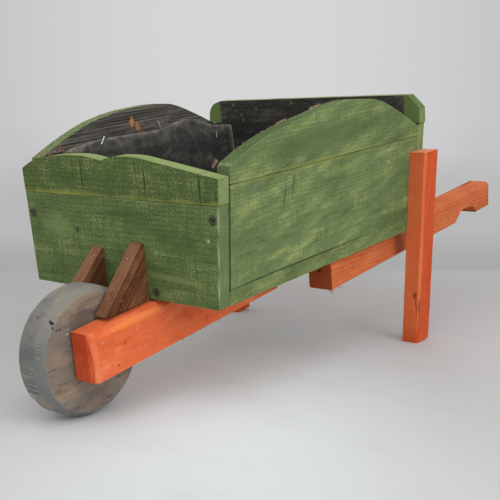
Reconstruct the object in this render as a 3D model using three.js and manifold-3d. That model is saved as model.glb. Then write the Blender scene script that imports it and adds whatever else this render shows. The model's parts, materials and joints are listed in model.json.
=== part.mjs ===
// A hand-made wooden garden wheelbarrow: a splayed tray of boards on two wheel arms, two handle
// beams and two legs, with a solid wooden wheel turning on a rod hidden in the arms.
// Units are millimetres, +Z is up, the wheel is towards -Y and the handles towards +Y.
// Left and right are those of the person holding the handles, so left is +X.
// The pieces are laid out in the tray's own frame (y = 0 at the front board's face, z = 0 at the
// floor's underside). The whole is then pitched so that the wheel and both legs meet the ground.
import * as THREE from "three";
import { mergeVertices } from "three/addons/utils/BufferGeometryUtils.js";
import Module from "manifold-3d";

const wasm = await Module();
wasm.setup();

// ---- boards and fits ----
const BOARD = 19; // thickness of every plank
const JOINT = 0.3; // glue line, or a seat where one piece rests on another
const FRONT_GAP = 2; // open gap between the sides' front ends and the front board
const CUT_PAST = 1; // how far a saw cut is carried past the wood
const SAME_POINT = 1e-4; // corners closer than this are one corner
const CURVE_STEPS = 10;
const ROUND_SIDES = { screw: 12, rod: 48, wheel: 72 };

// ---- tray ----
const FRONT_HALF_WIDTH = 156; // outside, at the floor's underside and the front face
const LEAN = 0.086; // how far the sides lean out, per mm of height
const TOE = 0.058; // how far the tray widens on each side, per mm of length
const SIDE_LENGTH = 426;
const FRONT_JOINT = 123; // height of the front board's glue line
const FRONT_END_HEIGHT = 155; // height of the front board's two ends
const FRONT_CREST = 21; // rise of the humps above those ends
const FRONT_RIGHT_PROUD = 7.4; // how far its right end stands out past the floor's corner
const FRONT_RIGHT_LEAN = 0.0235; // that end is sawn nearly upright
const SIDE_JOINT = 144;
const SIDE_FRONT_HEIGHT = 165;
const SIDE_CREST = 50; // rise of a side's arch above its front end
const REAR_JOINT = 162;
const REAR_HEIGHT = { left: 204, right: 200 };
const REAR_OVERHANG = { left: 2, right: 10 }; // of the top rear board beyond the one below it
// Its two corners, as [in from the end, down from the top]: one sawn straight, one rounded off.
const REAR_LEFT_CORNER = [[0, 19], [19, 0]];
const REAR_RIGHT_CORNER = [[0, 26], [2, 17], [10, 6], [26, 0]];

// The crest of each board as [fraction of its length, fraction of its rise], cut by hand.
const LEFT_ARCH = [
  [0, 0], [0.06, 0.24], [0.16, 0.51], [0.3, 0.74], [0.5, 0.98],
  [0.6, 0.98], [0.735, 0.83], [0.87, 0.38], [1, -0.14],
];
const RIGHT_ARCH = [
  [0, 0], [0.05, 0.17], [0.125, 0.4], [0.21, 0.63], [0.31, 0.81],
  [0.43, 0.92], [0.62, 0.93], [0.75, 0.69], [1, -0.22],
];
// The front board's two humps, as [fraction of the way from the middle to that end, fraction of the rise].
const FRONT_LEFT_HUMP = [
  [1, -0.05], [0.7, 0.37], [0.48, 0.66], [0.28, 0.92], [0.12, 0.96], [0, 0.86], [-0.08, 0.67],
];
const FRONT_RIGHT_HUMP = [
  [-0.182, 0.82], [-0.304, 0.92], [-0.507, 0.9], [-0.71, 0.76], [-0.862, 0.5], [-1, 0],
];

// ---- liner ----
const FABRIC = 2;
const FABRIC_GAP = 0.5;
const LINER_FLAP = 18; // how far the fabric turns each rear corner
// Its upper edge as [fraction of the side's length, height].
const LINER_TOP = [
  [0.02, 150], [0.13, 170], [0.3, 175], [0.6, 173], [0.74, 181], [0.82, 177], [0.92, 163], [1, 153],
];

// ---- wheel, axle and arms ----
const WHEEL_RADIUS = 80;
const WHEEL_THICKNESS = 47;
const WHEEL_EDGE_DROP = 7; // the rim's bevel, measured along the radius
const WHEEL_EDGE_WIDTH = 11; // and along the axle
// Where a bevel meets a flat the edge is rubbed round: how far that reaches along the flat, and how
// far it has dropped by the flat's old end.
const WHEEL_SHOULDER = { reach: 1.5, out: 0.8, drop: 0.9 };
const WHEEL_Y = -79;
const WHEEL_Z = -46;
const AXLE_RADIUS = 5;
const AXLE_DEPTH = 20; // how far the rod enters each arm
const AXLE_END_GAP = 2; // between the rod's end and the bottom of its hole
const RUNNING_FIT = 0.08; // radial, rod in arm
const PRESSED_FIT = 0.02; // radial, rod in wheel
const WHEEL_SIDE_GAP = 3;
const ARM_WIDTH = 34;
const ARM_FRONT = 33; // the arm's nose ahead of the axle
const ARM_REAR_Y = 250;
const ARM_DEPTH = 64; // at the front board, below the floor
const ARM_RISE = 0.034; // of its bottom edge, per mm towards the rear
const ARM_TOP_DROP = 3; // of its top edge at the front board
const ARM_TOP_SLOPE = 0.058;
const ARM_CHAMFER = 8; // along the top outer edge
const NOSE_BEVEL = { across: 9.5, along: 5.5, lowAlong: 2 }; // at the nose, shallower at its foot

// ---- braces ----
const LEFT_BRACE = { height: 72.5, flat: 4.3, length: 73.4 };
const RIGHT_BRACE = { height: 61, flat: 2, length: 68 };
const BRACE_TIP = 0.8; // the sharp corner is rubbed off this high

// ---- handles ----
const HANDLE_WIDTH = 37;
const HANDLE_DEPTH = 41; // at its front end
const HANDLE_TAPER = 0.0135; // how much deeper it gets, per mm towards the grip
const HANDLE_LAP = 214; // how much of its length lies under the tray
const HANDLE_LENGTH = 633;
const HANDLE_INSET = 4.5; // of its front end from the floor's edge
const HANDLE_TOE = -0.035; // the grips are a little closer together
const HANDLE_OUTER_ROUND = 9;
const HANDLE_EDGE_ROUND = 3;
// The finger notch; its start and end are measured from the grip's end.
const GRIP_NOTCH = { start: 179, ramp: 29, shoulder: 16.5, depth: 19, end: 68 };
// The scoop's curve, as [fraction of the notch's length, fraction of its depth], and its rounded lip,
// as [distance before the notch's end, fraction of its depth].
const GRIP_SCOOP = [[0.36, 1.03], [0.6, 1.05], [0.78, 0.82]];
const GRIP_LIP = [6, 0.6];

// ---- legs ----
const LEG_WIDTH = 26;
const LEG_DEPTH = 38.5;
const LEG_LAP = 17; // how much of it, at the floor's underside, lies against the side
const LEG_RAKE = 0.034; // how far it slopes back, per mm downwards
const LEG_TOP = 121.5;
const LEG_FOOT = 184.5; // below the floor's underside
const LEG_CHAMFER = 3;

// ---- screws ----
const SCREW = { head: 4.5, headHeight: 3.8, neck: 2.4, shank: 2, point: 6, length: 45 };
const SCREW_CLEARANCE = 0.3;
const FRONT_SCREW_HEIGHTS = { left: 106, right: 95 };
const REAR_SCREW_HEIGHTS = [60, 130];
const LEG_SCREW_HEIGHTS = [35, 95];
const FLOOR_SCREW_X = 58;
const HANDLE_SCREW_SPOTS = [37, 177]; // from the beam's front end
const ARM_SCREW_SPOTS = [80, 215];
const LEG_SCREW_INSET = 10; // from the leg's front face
const LEG_SCREW_SINK = 0.4; // of its head below the side's inner face

// ---- derived from the sizes above ----
const sideStart = BOARD + FRONT_GAP;
const sideEnd = sideStart + SIDE_LENGTH;
const rearFace = sideEnd + JOINT + BOARD;
const armInner = WHEEL_THICKNESS / 2 + WHEEL_SIDE_GAP;
const armFrontY = WHEEL_Y - ARM_FRONT;
const handleFrontY = sideEnd - HANDLE_LAP;
const handleRearY = handleFrontY + HANDLE_LENGTH;

// Half of the tray's outside width at a given length and height.
function halfWidth(y, z) {
  return FRONT_HALF_WIDTH + LEAN * z + TOE * y;
}

// The two ends of the front board at a given height.
function frontLeftX(z) {
  return halfWidth(0, z);
}

function frontRightX(z) {
  return -(FRONT_HALF_WIDTH + FRONT_RIGHT_PROUD + FRONT_RIGHT_LEAN * z);
}

// ---- solids ----
function solidOf(geometry) {
  const bare = geometry.clone();
  bare.deleteAttribute("normal");
  bare.deleteAttribute("uv");
  const merged = mergeVertices(bare, SAME_POINT);
  const mesh = new wasm.Mesh({
    numProp: 3,
    vertProperties: new Float32Array(merged.attributes.position.array),
    triVerts: new Uint32Array(merged.index.array),
  });
  return new wasm.Manifold(mesh);
}

function geometryOf(solid) {
  const mesh = solid.getMesh();
  const geometry = new THREE.BufferGeometry();
  geometry.setAttribute("position", new THREE.BufferAttribute(mesh.vertProperties, 3));
  geometry.setIndex(new THREE.BufferAttribute(mesh.triVerts, 1));
  geometry.computeVertexNormals();
  return geometry;
}

function cut(geometry, tools) {
  return geometryOf(tools.reduce((solid, tool) => solid.subtract(solidOf(tool)), solidOf(geometry)));
}

function common(first, ...others) {
  return geometryOf(others.reduce((solid, other) => solid.intersect(solidOf(other)), solidOf(first)));
}

function join(first, ...others) {
  return geometryOf(others.reduce((solid, other) => solid.add(solidOf(other)), solidOf(first)));
}

function outline(points) {
  return new THREE.Shape(points.map(([a, b]) => new THREE.Vector2(a, b)));
}

function extrude(shape, depth) {
  return new THREE.ExtrudeGeometry(shape, { depth, bevelEnabled: false, curveSegments: CURVE_STEPS });
}

// A piece cut to a (y, z) outline, from x0 to x1.
function alongX(shape, x0, x1) {
  const geometry = extrude(shape, x1 - x0);
  const axes = new THREE.Matrix4().makeBasis(
    new THREE.Vector3(0, 1, 0),
    new THREE.Vector3(0, 0, 1),
    new THREE.Vector3(1, 0, 0),
  );
  return geometry.applyMatrix4(axes).translate(x0, 0, 0);
}

// A piece cut to an (x, z) outline, from y0 to y1.
function alongY(shape, y0, y1) {
  const geometry = extrude(shape, y1 - y0);
  return geometry.rotateX(Math.PI / 2).translate(0, y1, 0);
}

// A piece cut to an (x, y) outline, from z0 to z1.
function alongZ(shape, z0, z1) {
  return extrude(shape, z1 - z0).translate(0, 0, z0);
}

// Moves every corner to a place that depends on where it was.
function warped(geometry, place) {
  const position = geometry.attributes.position;
  for (let i = 0; i < position.count; i += 1) {
    position.setXYZ(i, ...place(position.getX(i), position.getY(i), position.getZ(i)));
  }
  geometry.computeVertexNormals();
  return geometry;
}

// Reverses the order of each face's corners, for a piece that a warp has mirrored.
function turnedOut(geometry) {
  const order = geometry.index
    ? Array.from(geometry.index.array)
    : [...Array(geometry.attributes.position.count).keys()];
  for (let i = 0; i < order.length; i += 3) {
    [order[i], order[i + 1]] = [order[i + 1], order[i]];
  }
  geometry.setIndex(order);
  geometry.computeVertexNormals();
  return geometry;
}

// A piece on the left or right that lies from x0 to x1 outside the tray's leaning face.
function againstSide(shape, side, x0, x1) {
  const [low, high] = side > 0 ? [x0, x1] : [-x1, -x0];
  return warped(alongX(shape, low, high), (x, y, z) => [x + side * halfWidth(y, z), y, z]);
}

// A rectangle with its own radius at each corner: low-low, high-low, high-high, low-high.
function roundedRectangle(x0, y0, x1, y1, radii) {
  const shape = new THREE.Shape();
  const [r0, r1, r2, r3] = radii;
  shape.moveTo(x0 + r0, y0);
  shape.lineTo(x1 - r1, y0);
  shape.absarc(x1 - r1, y0 + r1, r1, -Math.PI / 2, 0, false);
  shape.lineTo(x1, y1 - r2);
  shape.absarc(x1 - r2, y1 - r2, r2, 0, Math.PI / 2, false);
  shape.lineTo(x0 + r3, y1);
  shape.absarc(x0 + r3, y1 - r3, r3, Math.PI / 2, Math.PI, false);
  shape.lineTo(x0, y0 + r0);
  shape.absarc(x0 + r0, y0 + r0, r0, Math.PI, 1.5 * Math.PI, false);
  return shape;
}

// ---- screws: each one's place is used for the screw and for the holes it needs ----
function screwGeometry(clearance) {
  const grown = (radius) => radius + clearance;
  const profile = [
    [0, -SCREW.length - clearance],
    [grown(SCREW.shank), -SCREW.length + SCREW.point],
    [grown(SCREW.shank), -SCREW.headHeight],
    [grown(SCREW.neck), -SCREW.headHeight / 2],
    [grown(SCREW.head), 0],
    [clearance > 0 ? grown(SCREW.head) : 0, clearance],
  ];
  if (clearance > 0) profile.push([0, clearance]);
  const points = profile.map(([r, h]) => new THREE.Vector2(r, h));
  return new THREE.LatheGeometry(points, ROUND_SIDES.screw);
}

function placed(geometry, place) {
  const turn = new THREE.Quaternion().setFromUnitVectors(
    new THREE.Vector3(0, -1, 0),
    new THREE.Vector3(...place.into),
  );
  return geometry.applyQuaternion(turn).translate(...place.at);
}

function hole(place) {
  return placed(screwGeometry(SCREW_CLEARANCE), place);
}

function frontScrews() {
  const sideX = (z) => halfWidth(sideStart, z) - BOARD / 2;
  const { left, right } = FRONT_SCREW_HEIGHTS;
  const spots = [
    ["front_screw_left_side", sideX(left), left],
    ["front_screw_right_side", -sideX(right), right],
    ["front_screw_left_floor", FLOOR_SCREW_X, BOARD / 2],
    ["front_screw_right_floor", -FLOOR_SCREW_X, BOARD / 2],
  ];
  return spots.map(([name, x, z]) => ({ name, at: [x, 0, z], into: [0, 1, 0] }));
}

function rearScrews() {
  const places = [];
  for (const [word, side] of [["left", 1], ["right", -1]]) {
    REAR_SCREW_HEIGHTS.forEach((z, i) => {
      const x = side * (halfWidth(sideEnd, z) - BOARD / 2);
      places.push({ name: `rear_screw_${word}_side_${i + 1}`, at: [x, rearFace, z], into: [0, -1, 0] });
    });
    const at = [side * FLOOR_SCREW_X, rearFace, BOARD / 2];
    places.push({ name: `rear_screw_${word}_floor`, at, into: [0, -1, 0] });
  }
  return places;
}

function legScrews(word, side) {
  return LEG_SCREW_HEIGHTS.map((z, i) => {
    const y = legFrontY(z) + LEG_SCREW_INSET;
    const at = [side * (halfWidth(y, z) - BOARD + LEG_SCREW_SINK), y, z];
    return { name: `${word}_leg_screw_${i + 1}`, at, into: [side, 0, 0] };
  });
}

function handleScrews(word, side) {
  return HANDLE_SCREW_SPOTS.map((along, i) => ({
    name: `${word}_handle_screw_${i + 1}`,
    at: [side * (handleOuterX(handleFrontY + along) - HANDLE_WIDTH / 2), handleFrontY + along, BOARD],
    into: [0, 0, -1],
  }));
}

function armScrews(word, side) {
  return ARM_SCREW_SPOTS.map((y, i) => ({
    name: `${word}_arm_screw_${i + 1}`,
    at: [side * (armInner + ARM_WIDTH / 2), y, BOARD],
    into: [0, 0, -1],
  }));
}

const SIDES = [["left", 1], ["right", -1]];

// ---- tray boards ----
function floorBoard() {
  const front = BOARD + JOINT;
  const edge = (y) => halfWidth(y, 0);
  const plan = outline([
    [-edge(front), front],
    [edge(front), front],
    [edge(sideEnd), sideEnd],
    [-edge(sideEnd), sideEnd],
  ]);
  const plank = warped(alongZ(plan, 0, BOARD), (x, y, z) => [x + Math.sign(x) * LEAN * z, y, z]);
  const holes = SIDES.flatMap(([word, side]) => [...handleScrews(word, side), ...armScrews(word, side)]);
  return cut(plank, [...holes, ...frontScrews(), ...rearScrews()].filter(reachesFloor).map(hole));
}

function reachesFloor(place) {
  return place.at[2] <= BOARD;
}

// A side's lower plank stands on the floor board, its ends square to the tray's length.
function sideLower(side) {
  const low = BOARD + JOINT;
  const face = outline([
    [sideStart, low],
    [sideEnd, low],
    [sideEnd, SIDE_JOINT],
    [sideStart, SIDE_JOINT],
  ]);
  const plank = againstSide(face, side, -BOARD, 0);
  const word = side > 0 ? "left" : "right";
  const reachesIt = (place) => Math.sign(place.at[0]) === side && !reachesFloor(place);
  const places = [...frontScrews(), ...rearScrews(), ...legScrews(word, side)];
  return cut(plank, places.filter(reachesIt).map(hole));
}

// The arched board above it, with a short flat end where it meets the front board.
function sideUpper(side) {
  const arch = side > 0 ? LEFT_ARCH : RIGHT_ARCH;
  const crest = arch.map(([along, up]) => new THREE.Vector2(
    sideStart + along * SIDE_LENGTH,
    SIDE_FRONT_HEIGHT + up * SIDE_CREST,
  ));
  const face = new THREE.Shape();
  face.moveTo(sideEnd, SIDE_JOINT + JOINT);
  face.lineTo(sideEnd, crest[crest.length - 1].y);
  crest.reverse();
  face.splineThru(crest.slice(1));
  face.lineTo(sideStart, SIDE_JOINT + JOINT);
  return againstSide(face, side, -BOARD, 0);
}

function frontLower() {
  const face = outline([
    [frontRightX(0), 0],
    [frontLeftX(0), 0],
    [frontLeftX(FRONT_JOINT), FRONT_JOINT],
    [frontRightX(FRONT_JOINT), FRONT_JOINT],
  ]);
  return cut(alongY(face, 0, BOARD), frontScrews().map(hole));
}

// The camel-backed strip above: two humps with a notch between them.
function frontUpper() {
  const low = FRONT_JOINT + JOINT;
  const left = frontLeftX(FRONT_END_HEIGHT);
  const right = -frontRightX(FRONT_END_HEIGHT);
  const crest = ([across, up]) => new THREE.Vector2(
    across * (across < 0 ? right : left),
    FRONT_END_HEIGHT + up * FRONT_CREST,
  );
  const leftHump = FRONT_LEFT_HUMP.map(crest);
  const face = new THREE.Shape();
  face.moveTo(frontRightX(low), low);
  face.lineTo(frontLeftX(low), low);
  face.lineTo(leftHump[0].x, leftHump[0].y);
  face.splineThru(leftHump.slice(1));
  face.splineThru(FRONT_RIGHT_HUMP.map(crest));
  return alongY(face, 0, BOARD);
}

function rearLower() {
  const face = outline([
    [-halfWidth(sideEnd, 0), 0],
    [halfWidth(sideEnd, 0), 0],
    [halfWidth(sideEnd, REAR_JOINT), REAR_JOINT],
    [-halfWidth(sideEnd, REAR_JOINT), REAR_JOINT],
  ]);
  return cut(alongY(face, sideEnd + JOINT, rearFace), rearScrews().map(hole));
}

function rearUpper() {
  const half = halfWidth(sideEnd, REAR_JOINT);
  const left = half + REAR_OVERHANG.left;
  const right = -half - REAR_OVERHANG.right;
  const low = REAR_JOINT + JOINT;
  const face = new THREE.Shape();
  face.moveTo(right, low);
  face.lineTo(left, low);
  REAR_LEFT_CORNER.forEach(([inward, down]) => face.lineTo(left - inward, REAR_HEIGHT.left - down));
  const rightCorner = REAR_RIGHT_CORNER.map(
    ([inward, down]) => new THREE.Vector2(right + inward, REAR_HEIGHT.right - down),
  ).reverse();
  face.lineTo(rightCorner[0].x, rightCorner[0].y);
  face.splineThru(rightCorner.slice(1));
  return alongY(face, sideEnd + JOINT, rearFace);
}

// ---- liner: one sheet up both walls and over the floor, turned round the rear corners ----
function liner() {
  const outer = BOARD + FABRIC_GAP;
  const low = BOARD + FABRIC_GAP;
  const rear = sideEnd - FABRIC_GAP;
  const front = sideStart + FABRIC;
  const inner = (y, z) => halfWidth(y, z) - outer;
  const top = LINER_TOP.map(([along, z]) => [Math.min(sideStart + along * SIDE_LENGTH, rear), z]);
  const wall = outline([[front, low], [rear, low], ...top.reverse(), [front, top[top.length - 1][1]]]);
  const wallOn = (side) => againstSide(wall, side, -outer - FABRIC, -outer);
  const mid = low + FABRIC / 2;
  const base = alongZ(outline([
    [-inner(front, low), front],
    [inner(front, low), front],
    [inner(rear, low), rear],
    [-inner(rear, low), rear],
  ]), low, low + FABRIC);
  const flapTop = LINER_TOP[LINER_TOP.length - 1][1];
  const flap = (side) => alongY(outline([
    [side * inner(rear, mid), mid],
    [side * inner(rear, flapTop), flapTop],
    [side * (inner(rear, flapTop) - LINER_FLAP), flapTop],
    [side * (inner(rear, mid) - LINER_FLAP), mid],
  ]), rear - FABRIC, rear);
  return join(base, wallOn(1), wallOn(-1), flap(1), flap(-1));
}

// ---- arms that hold the wheel ----
function armTop(y) {
  return Math.min(-JOINT, -ARM_TOP_DROP + ARM_TOP_SLOPE * y);
}

function armBottom(y) {
  return -ARM_DEPTH + ARM_RISE * y;
}

function arm(word, side) {
  const levelY = (ARM_TOP_DROP - JOINT) / ARM_TOP_SLOPE;
  const profile = outline([
    [armFrontY, armBottom(armFrontY)],
    [ARM_REAR_Y, armBottom(ARM_REAR_Y)],
    [ARM_REAR_Y, -JOINT],
    [levelY, -JOINT],
    [armFrontY, armTop(armFrontY)],
  ]);
  const outer = armInner + ARM_WIDTH;
  const [low, high] = side > 0 ? [armInner, outer] : [-outer, -armInner];
  const beam = alongX(profile, low, high);
  const slope = Math.atan(ARM_TOP_SLOPE);
  const length = 2 * (levelY - armFrontY);
  const edge = new THREE.BoxGeometry(ARM_CHAMFER, length, ARM_CHAMFER)
    .rotateY(Math.PI / 4)
    .scale(Math.SQRT2, 1, Math.SQRT2)
    .rotateX(slope)
    .translate(side * outer, levelY - length / 2, -JOINT - (ARM_TOP_SLOPE * length) / 2);
  const bore = new THREE.CylinderGeometry(
    AXLE_RADIUS + RUNNING_FIT,
    AXLE_RADIUS + RUNNING_FIT,
    2 * (AXLE_DEPTH + AXLE_END_GAP),
    ROUND_SIDES.rod,
  ).rotateZ(Math.PI / 2).translate(side * armInner, WHEEL_Y, WHEEL_Z);
  return cut(beam, [noseBevel(side), edge, bore, ...armScrews(word, side).map(hole)]);
}

// The wedge planed off the arm's outer front corner.
function noseBevel(side) {
  const { across, along, lowAlong } = NOSE_BEVEL;
  const outer = armInner + ARM_WIDTH;
  const wedge = alongZ(outline([
    [-across, 0],
    [across, -across],
    [across, CUT_PAST],
  ]), armBottom(armFrontY) - CUT_PAST, CUT_PAST);
  const reach = (z) => lowAlong + (along - lowAlong) * (1 - z / armBottom(armFrontY));
  const bevel = warped(wedge, (x, y, z) => {
    const slant = y < 0 ? y : ((x + across) / across) * reach(z);
    return [side * (outer + x), armFrontY + slant, z];
  });
  return side > 0 ? bevel : turnedOut(bevel);
}

// A triangular block against the front board. It is sawn square, so it meets the falling arm
// only at the board, and a narrow gap opens under its tip.
function brace(side) {
  const size = side > 0 ? LEFT_BRACE : RIGHT_BRACE;
  const seat = armTop(0) + JOINT;
  const profile = outline([
    [-JOINT, seat],
    [-JOINT, seat + size.height],
    [-size.flat, seat + size.height],
    [-size.length, seat + BRACE_TIP],
    [-size.length, seat],
  ]);
  const [low, high] = side > 0 ? [armInner, armInner + BOARD] : [-armInner - BOARD, -armInner];
  return alongX(profile, low, high);
}

// ---- handle beams ----
function handleOuterX(y) {
  return halfWidth(handleFrontY, 0) - HANDLE_INSET + HANDLE_TOE * (y - handleFrontY);
}

function handleBottom(y) {
  return -JOINT - HANDLE_DEPTH - HANDLE_TAPER * (y - handleFrontY);
}

// The beam seen from the side: a finger notch is sawn up and scooped out under the grip.
function handleProfile() {
  const { start, ramp, shoulder, depth, end } = GRIP_NOTCH;
  const above = (fromEnd, up) => [handleRearY - fromEnd, handleBottom(handleRearY - fromEnd) + up];
  const notch = end - start;
  const shape = new THREE.Shape();
  shape.moveTo(handleFrontY, handleBottom(handleFrontY));
  shape.lineTo(...above(start, 0));
  shape.lineTo(...above(start - ramp, shoulder));
  const [lipBefore, lipUp] = GRIP_LIP;
  shape.bezierCurveTo(...GRIP_SCOOP.flatMap(([along, up]) => above(start + along * notch, up * depth)));
  shape.quadraticCurveTo(...above(end + lipBefore, lipUp * depth), ...above(end, 0));
  const small = HANDLE_EDGE_ROUND;
  shape.lineTo(...above(small, 0));
  shape.absarc(handleRearY - small, handleBottom(handleRearY) + small, small, -Math.PI / 2, 0, false);
  const large = HANDLE_OUTER_ROUND;
  shape.absarc(handleRearY - large, -JOINT - large, large, 0, Math.PI / 2, false);
  shape.lineTo(handleFrontY, -JOINT);
  return shape;
}

function handle(word, side) {
  const half = HANDLE_WIDTH / 2;
  const low = -JOINT - HANDLE_DEPTH;
  const small = HANDLE_EDGE_ROUND;
  const large = HANDLE_OUTER_ROUND;
  const radii = side > 0 ? [small, small, large, small] : [small, small, small, large];
  const section = roundedRectangle(-half, low, half, -JOINT, radii);
  const mid = -HANDLE_DEPTH / 2;
  const stock = warped(
    alongY(section, handleFrontY - CUT_PAST, handleRearY + CUT_PAST),
    (x, y, z) => [x, y, z < mid ? z - low + handleBottom(y) : z],
  );
  const beam = common(alongX(handleProfile(), -half, half), stock);
  const toed = warped(beam, (x, y, z) => [x + side * (handleOuterX(y) - half), y, z]);
  return cut(toed, handleScrews(word, side).map(hole));
}

// ---- legs: flat against the leaning sides, raked back, both ends sawn level with the tray ----
function legFrontY(z) {
  return sideEnd - LEG_LAP - LEG_RAKE * z;
}

function leg(word, side) {
  const plan = outline([
    [0, 0],
    [LEG_WIDTH - LEG_CHAMFER, 0],
    [LEG_WIDTH, LEG_CHAMFER],
    [LEG_WIDTH, LEG_DEPTH - LEG_CHAMFER],
    [LEG_WIDTH - LEG_CHAMFER, LEG_DEPTH],
    [0, LEG_DEPTH],
  ]);
  const post = warped(alongZ(plan, -LEG_FOOT, LEG_TOP), (x, y, z) => {
    const back = legFrontY(z) + y;
    return [side * (halfWidth(back, z) + JOINT + x), back, z];
  });
  return cut(side > 0 ? post : turnedOut(post), legScrews(word, side).map(hole));
}

// ---- wheel and its rod ----
function wheel() {
  const half = WHEEL_THICKNESS / 2;
  const bore = AXLE_RADIUS + PRESSED_FIT;
  const face = WHEEL_RADIUS - WHEEL_EDGE_DROP;
  const tread = half - WHEEL_EDGE_WIDTH;
  const { reach, out, drop } = WHEEL_SHOULDER;
  const profile = [
    [bore, -half],
    [face - reach, -half],
    [face + out, -half + drop],
    [WHEEL_RADIUS - drop, -tread - reach],
    [WHEEL_RADIUS, -tread + reach],
    [WHEEL_RADIUS, tread - reach],
    [WHEEL_RADIUS - drop, tread + reach],
    [face + out, half - drop],
    [face - reach, half],
    [bore, half],
    [bore, -half],
  ];
  const points = profile.map(([r, h]) => new THREE.Vector2(r, h));
  return new THREE.LatheGeometry(points, ROUND_SIDES.wheel).rotateZ(Math.PI / 2);
}

function axle() {
  const length = 2 * (armInner + AXLE_DEPTH);
  const rod = new THREE.CylinderGeometry(AXLE_RADIUS, AXLE_RADIUS, length, ROUND_SIDES.rod);
  return rod.rotateZ(Math.PI / 2);
}

// ---- finishes ----
function greenStain(shade) {
  return new THREE.MeshStandardMaterial({ color: shade, roughness: 0.75, metalness: 0 });
}

function orangeStain(shade) {
  return new THREE.MeshStandardMaterial({ color: shade, roughness: 0.7, metalness: 0 });
}

function brownStain() {
  return new THREE.MeshStandardMaterial({ color: 0x5e3f2b, roughness: 0.7, metalness: 0 });
}

function greyStain() {
  return new THREE.MeshStandardMaterial({ color: 0x74716a, roughness: 0.8, metalness: 0 });
}

function blackFabric() {
  return new THREE.MeshStandardMaterial({ color: 0x2b2b2a, roughness: 0.95, metalness: 0 });
}

function blackScrew() {
  return new THREE.MeshStandardMaterial({ color: 0x26282a, roughness: 0.5, metalness: 0.6 });
}

function zincRod() {
  return new THREE.MeshStandardMaterial({ color: 0xa4a7a9, roughness: 0.35, metalness: 0.9 });
}

function piece(name, geometry, material) {
  const mesh = new THREE.Mesh(geometry, material);
  mesh.name = name;
  return mesh;
}

function screws(places) {
  return places.map((place) => piece(place.name, placed(screwGeometry(0), place), blackScrew()));
}

// ---- the ground: a line that touches the wheel and the front edges of both feet ----
function groundPitch() {
  const run = legFrontY(-LEG_FOOT) - WHEEL_Y;
  const drop = WHEEL_Z + LEG_FOOT;
  const reach = Math.hypot(run, drop);
  return Math.asin(drop / reach) - Math.asin(WHEEL_RADIUS / reach);
}

function wheelbarrow() {
  const tray = new THREE.Group();
  tray.name = "tray_frame";
  tray.add(
    piece("tray_floor", floorBoard(), greenStain(0x5f7d45)),
    piece("front_board_lower", frontLower(), greenStain(0x567a41)),
    piece("front_board_upper", frontUpper(), greenStain(0x527440)),
    piece("rear_board_lower", rearLower(), greenStain(0x5c8048)),
    piece("rear_board_upper", rearUpper(), greenStain(0x5f8349)),
    piece("tray_liner", liner(), blackFabric()),
    ...screws([...frontScrews(), ...rearScrews()]),
  );
  for (const [word, side] of SIDES) {
    tray.add(
      piece(`${word}_side_board_lower`, sideLower(side), greenStain(0x6d8c4f)),
      piece(`${word}_side_board_upper`, sideUpper(side), greenStain(0x64854b)),
      piece(`${word}_wheel_arm`, arm(word, side), orangeStain(0xe0582c)),
      piece(`${word}_brace`, brace(side), brownStain()),
      piece(`${word}_handle_beam`, handle(word, side), orangeStain(0xc4663e)),
      piece(`${word}_leg`, leg(word, side), orangeStain(0xcb5a33)),
      ...screws([...legScrews(word, side), ...handleScrews(word, side), ...armScrews(word, side)]),
    );
  }
  const wheelset = new THREE.Group();
  wheelset.name = "wheelset";
  wheelset.add(piece("wheel", wheel(), greyStain()), piece("axle", axle(), zincRod()));
  wheelset.position.set(0, WHEEL_Y, WHEEL_Z);
  tray.add(wheelset);

  const pitch = groundPitch();
  tray.rotation.x = pitch;
  const along = (y, z) => y * Math.cos(pitch) - z * Math.sin(pitch);
  const up = (y, z) => y * Math.sin(pitch) + z * Math.cos(pitch);
  const frontmost = along(WHEEL_Y, WHEEL_Z) - WHEEL_RADIUS;
  const rearmost = along(handleRearY, handleBottom(handleRearY) + HANDLE_EDGE_ROUND);
  tray.position.set(0, -(frontmost + rearmost) / 2, WHEEL_RADIUS - up(WHEEL_Y, WHEEL_Z));
  const whole = new THREE.Group();
  whole.name = "wheelbarrow";
  whole.add(tray);
  return whole;
}

export default wheelbarrow();
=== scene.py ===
"""A hand-made wooden garden wheelbarrow: sawn boards, brushed stain, black screws and a cloth liner.

Sizes are in millimetres and lie in the tray's own frame: x towards the left handle, y from the front
board's face towards the grips, and z up from the underside of the floor board. Left and right are
those of the person holding the handles. The tray's frame is pitched a little in the row's frame.
"""

import json
import logging
import math
import random
from collections.abc import Callable, Iterable, Sequence
from dataclasses import dataclass
from enum import Enum
from typing import Any

import bmesh
import bpy
import numpy as np
from mathutils import Matrix, Vector, noise

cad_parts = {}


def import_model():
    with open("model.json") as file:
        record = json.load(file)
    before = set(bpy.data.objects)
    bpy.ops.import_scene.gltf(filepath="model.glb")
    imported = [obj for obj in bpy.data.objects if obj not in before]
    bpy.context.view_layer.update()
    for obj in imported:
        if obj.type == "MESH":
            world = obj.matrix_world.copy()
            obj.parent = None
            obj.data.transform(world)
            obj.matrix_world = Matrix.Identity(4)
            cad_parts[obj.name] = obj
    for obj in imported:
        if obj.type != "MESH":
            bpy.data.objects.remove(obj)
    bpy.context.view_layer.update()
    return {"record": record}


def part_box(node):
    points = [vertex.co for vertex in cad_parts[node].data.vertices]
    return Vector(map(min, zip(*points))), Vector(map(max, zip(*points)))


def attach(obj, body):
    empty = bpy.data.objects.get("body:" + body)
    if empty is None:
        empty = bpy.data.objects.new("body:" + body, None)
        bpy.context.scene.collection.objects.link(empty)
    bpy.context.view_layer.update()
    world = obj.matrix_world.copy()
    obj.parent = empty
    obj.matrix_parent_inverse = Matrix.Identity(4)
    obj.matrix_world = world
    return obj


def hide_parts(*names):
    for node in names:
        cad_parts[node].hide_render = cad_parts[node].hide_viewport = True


LOG = logging.getLogger("wheelbarrow")

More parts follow.
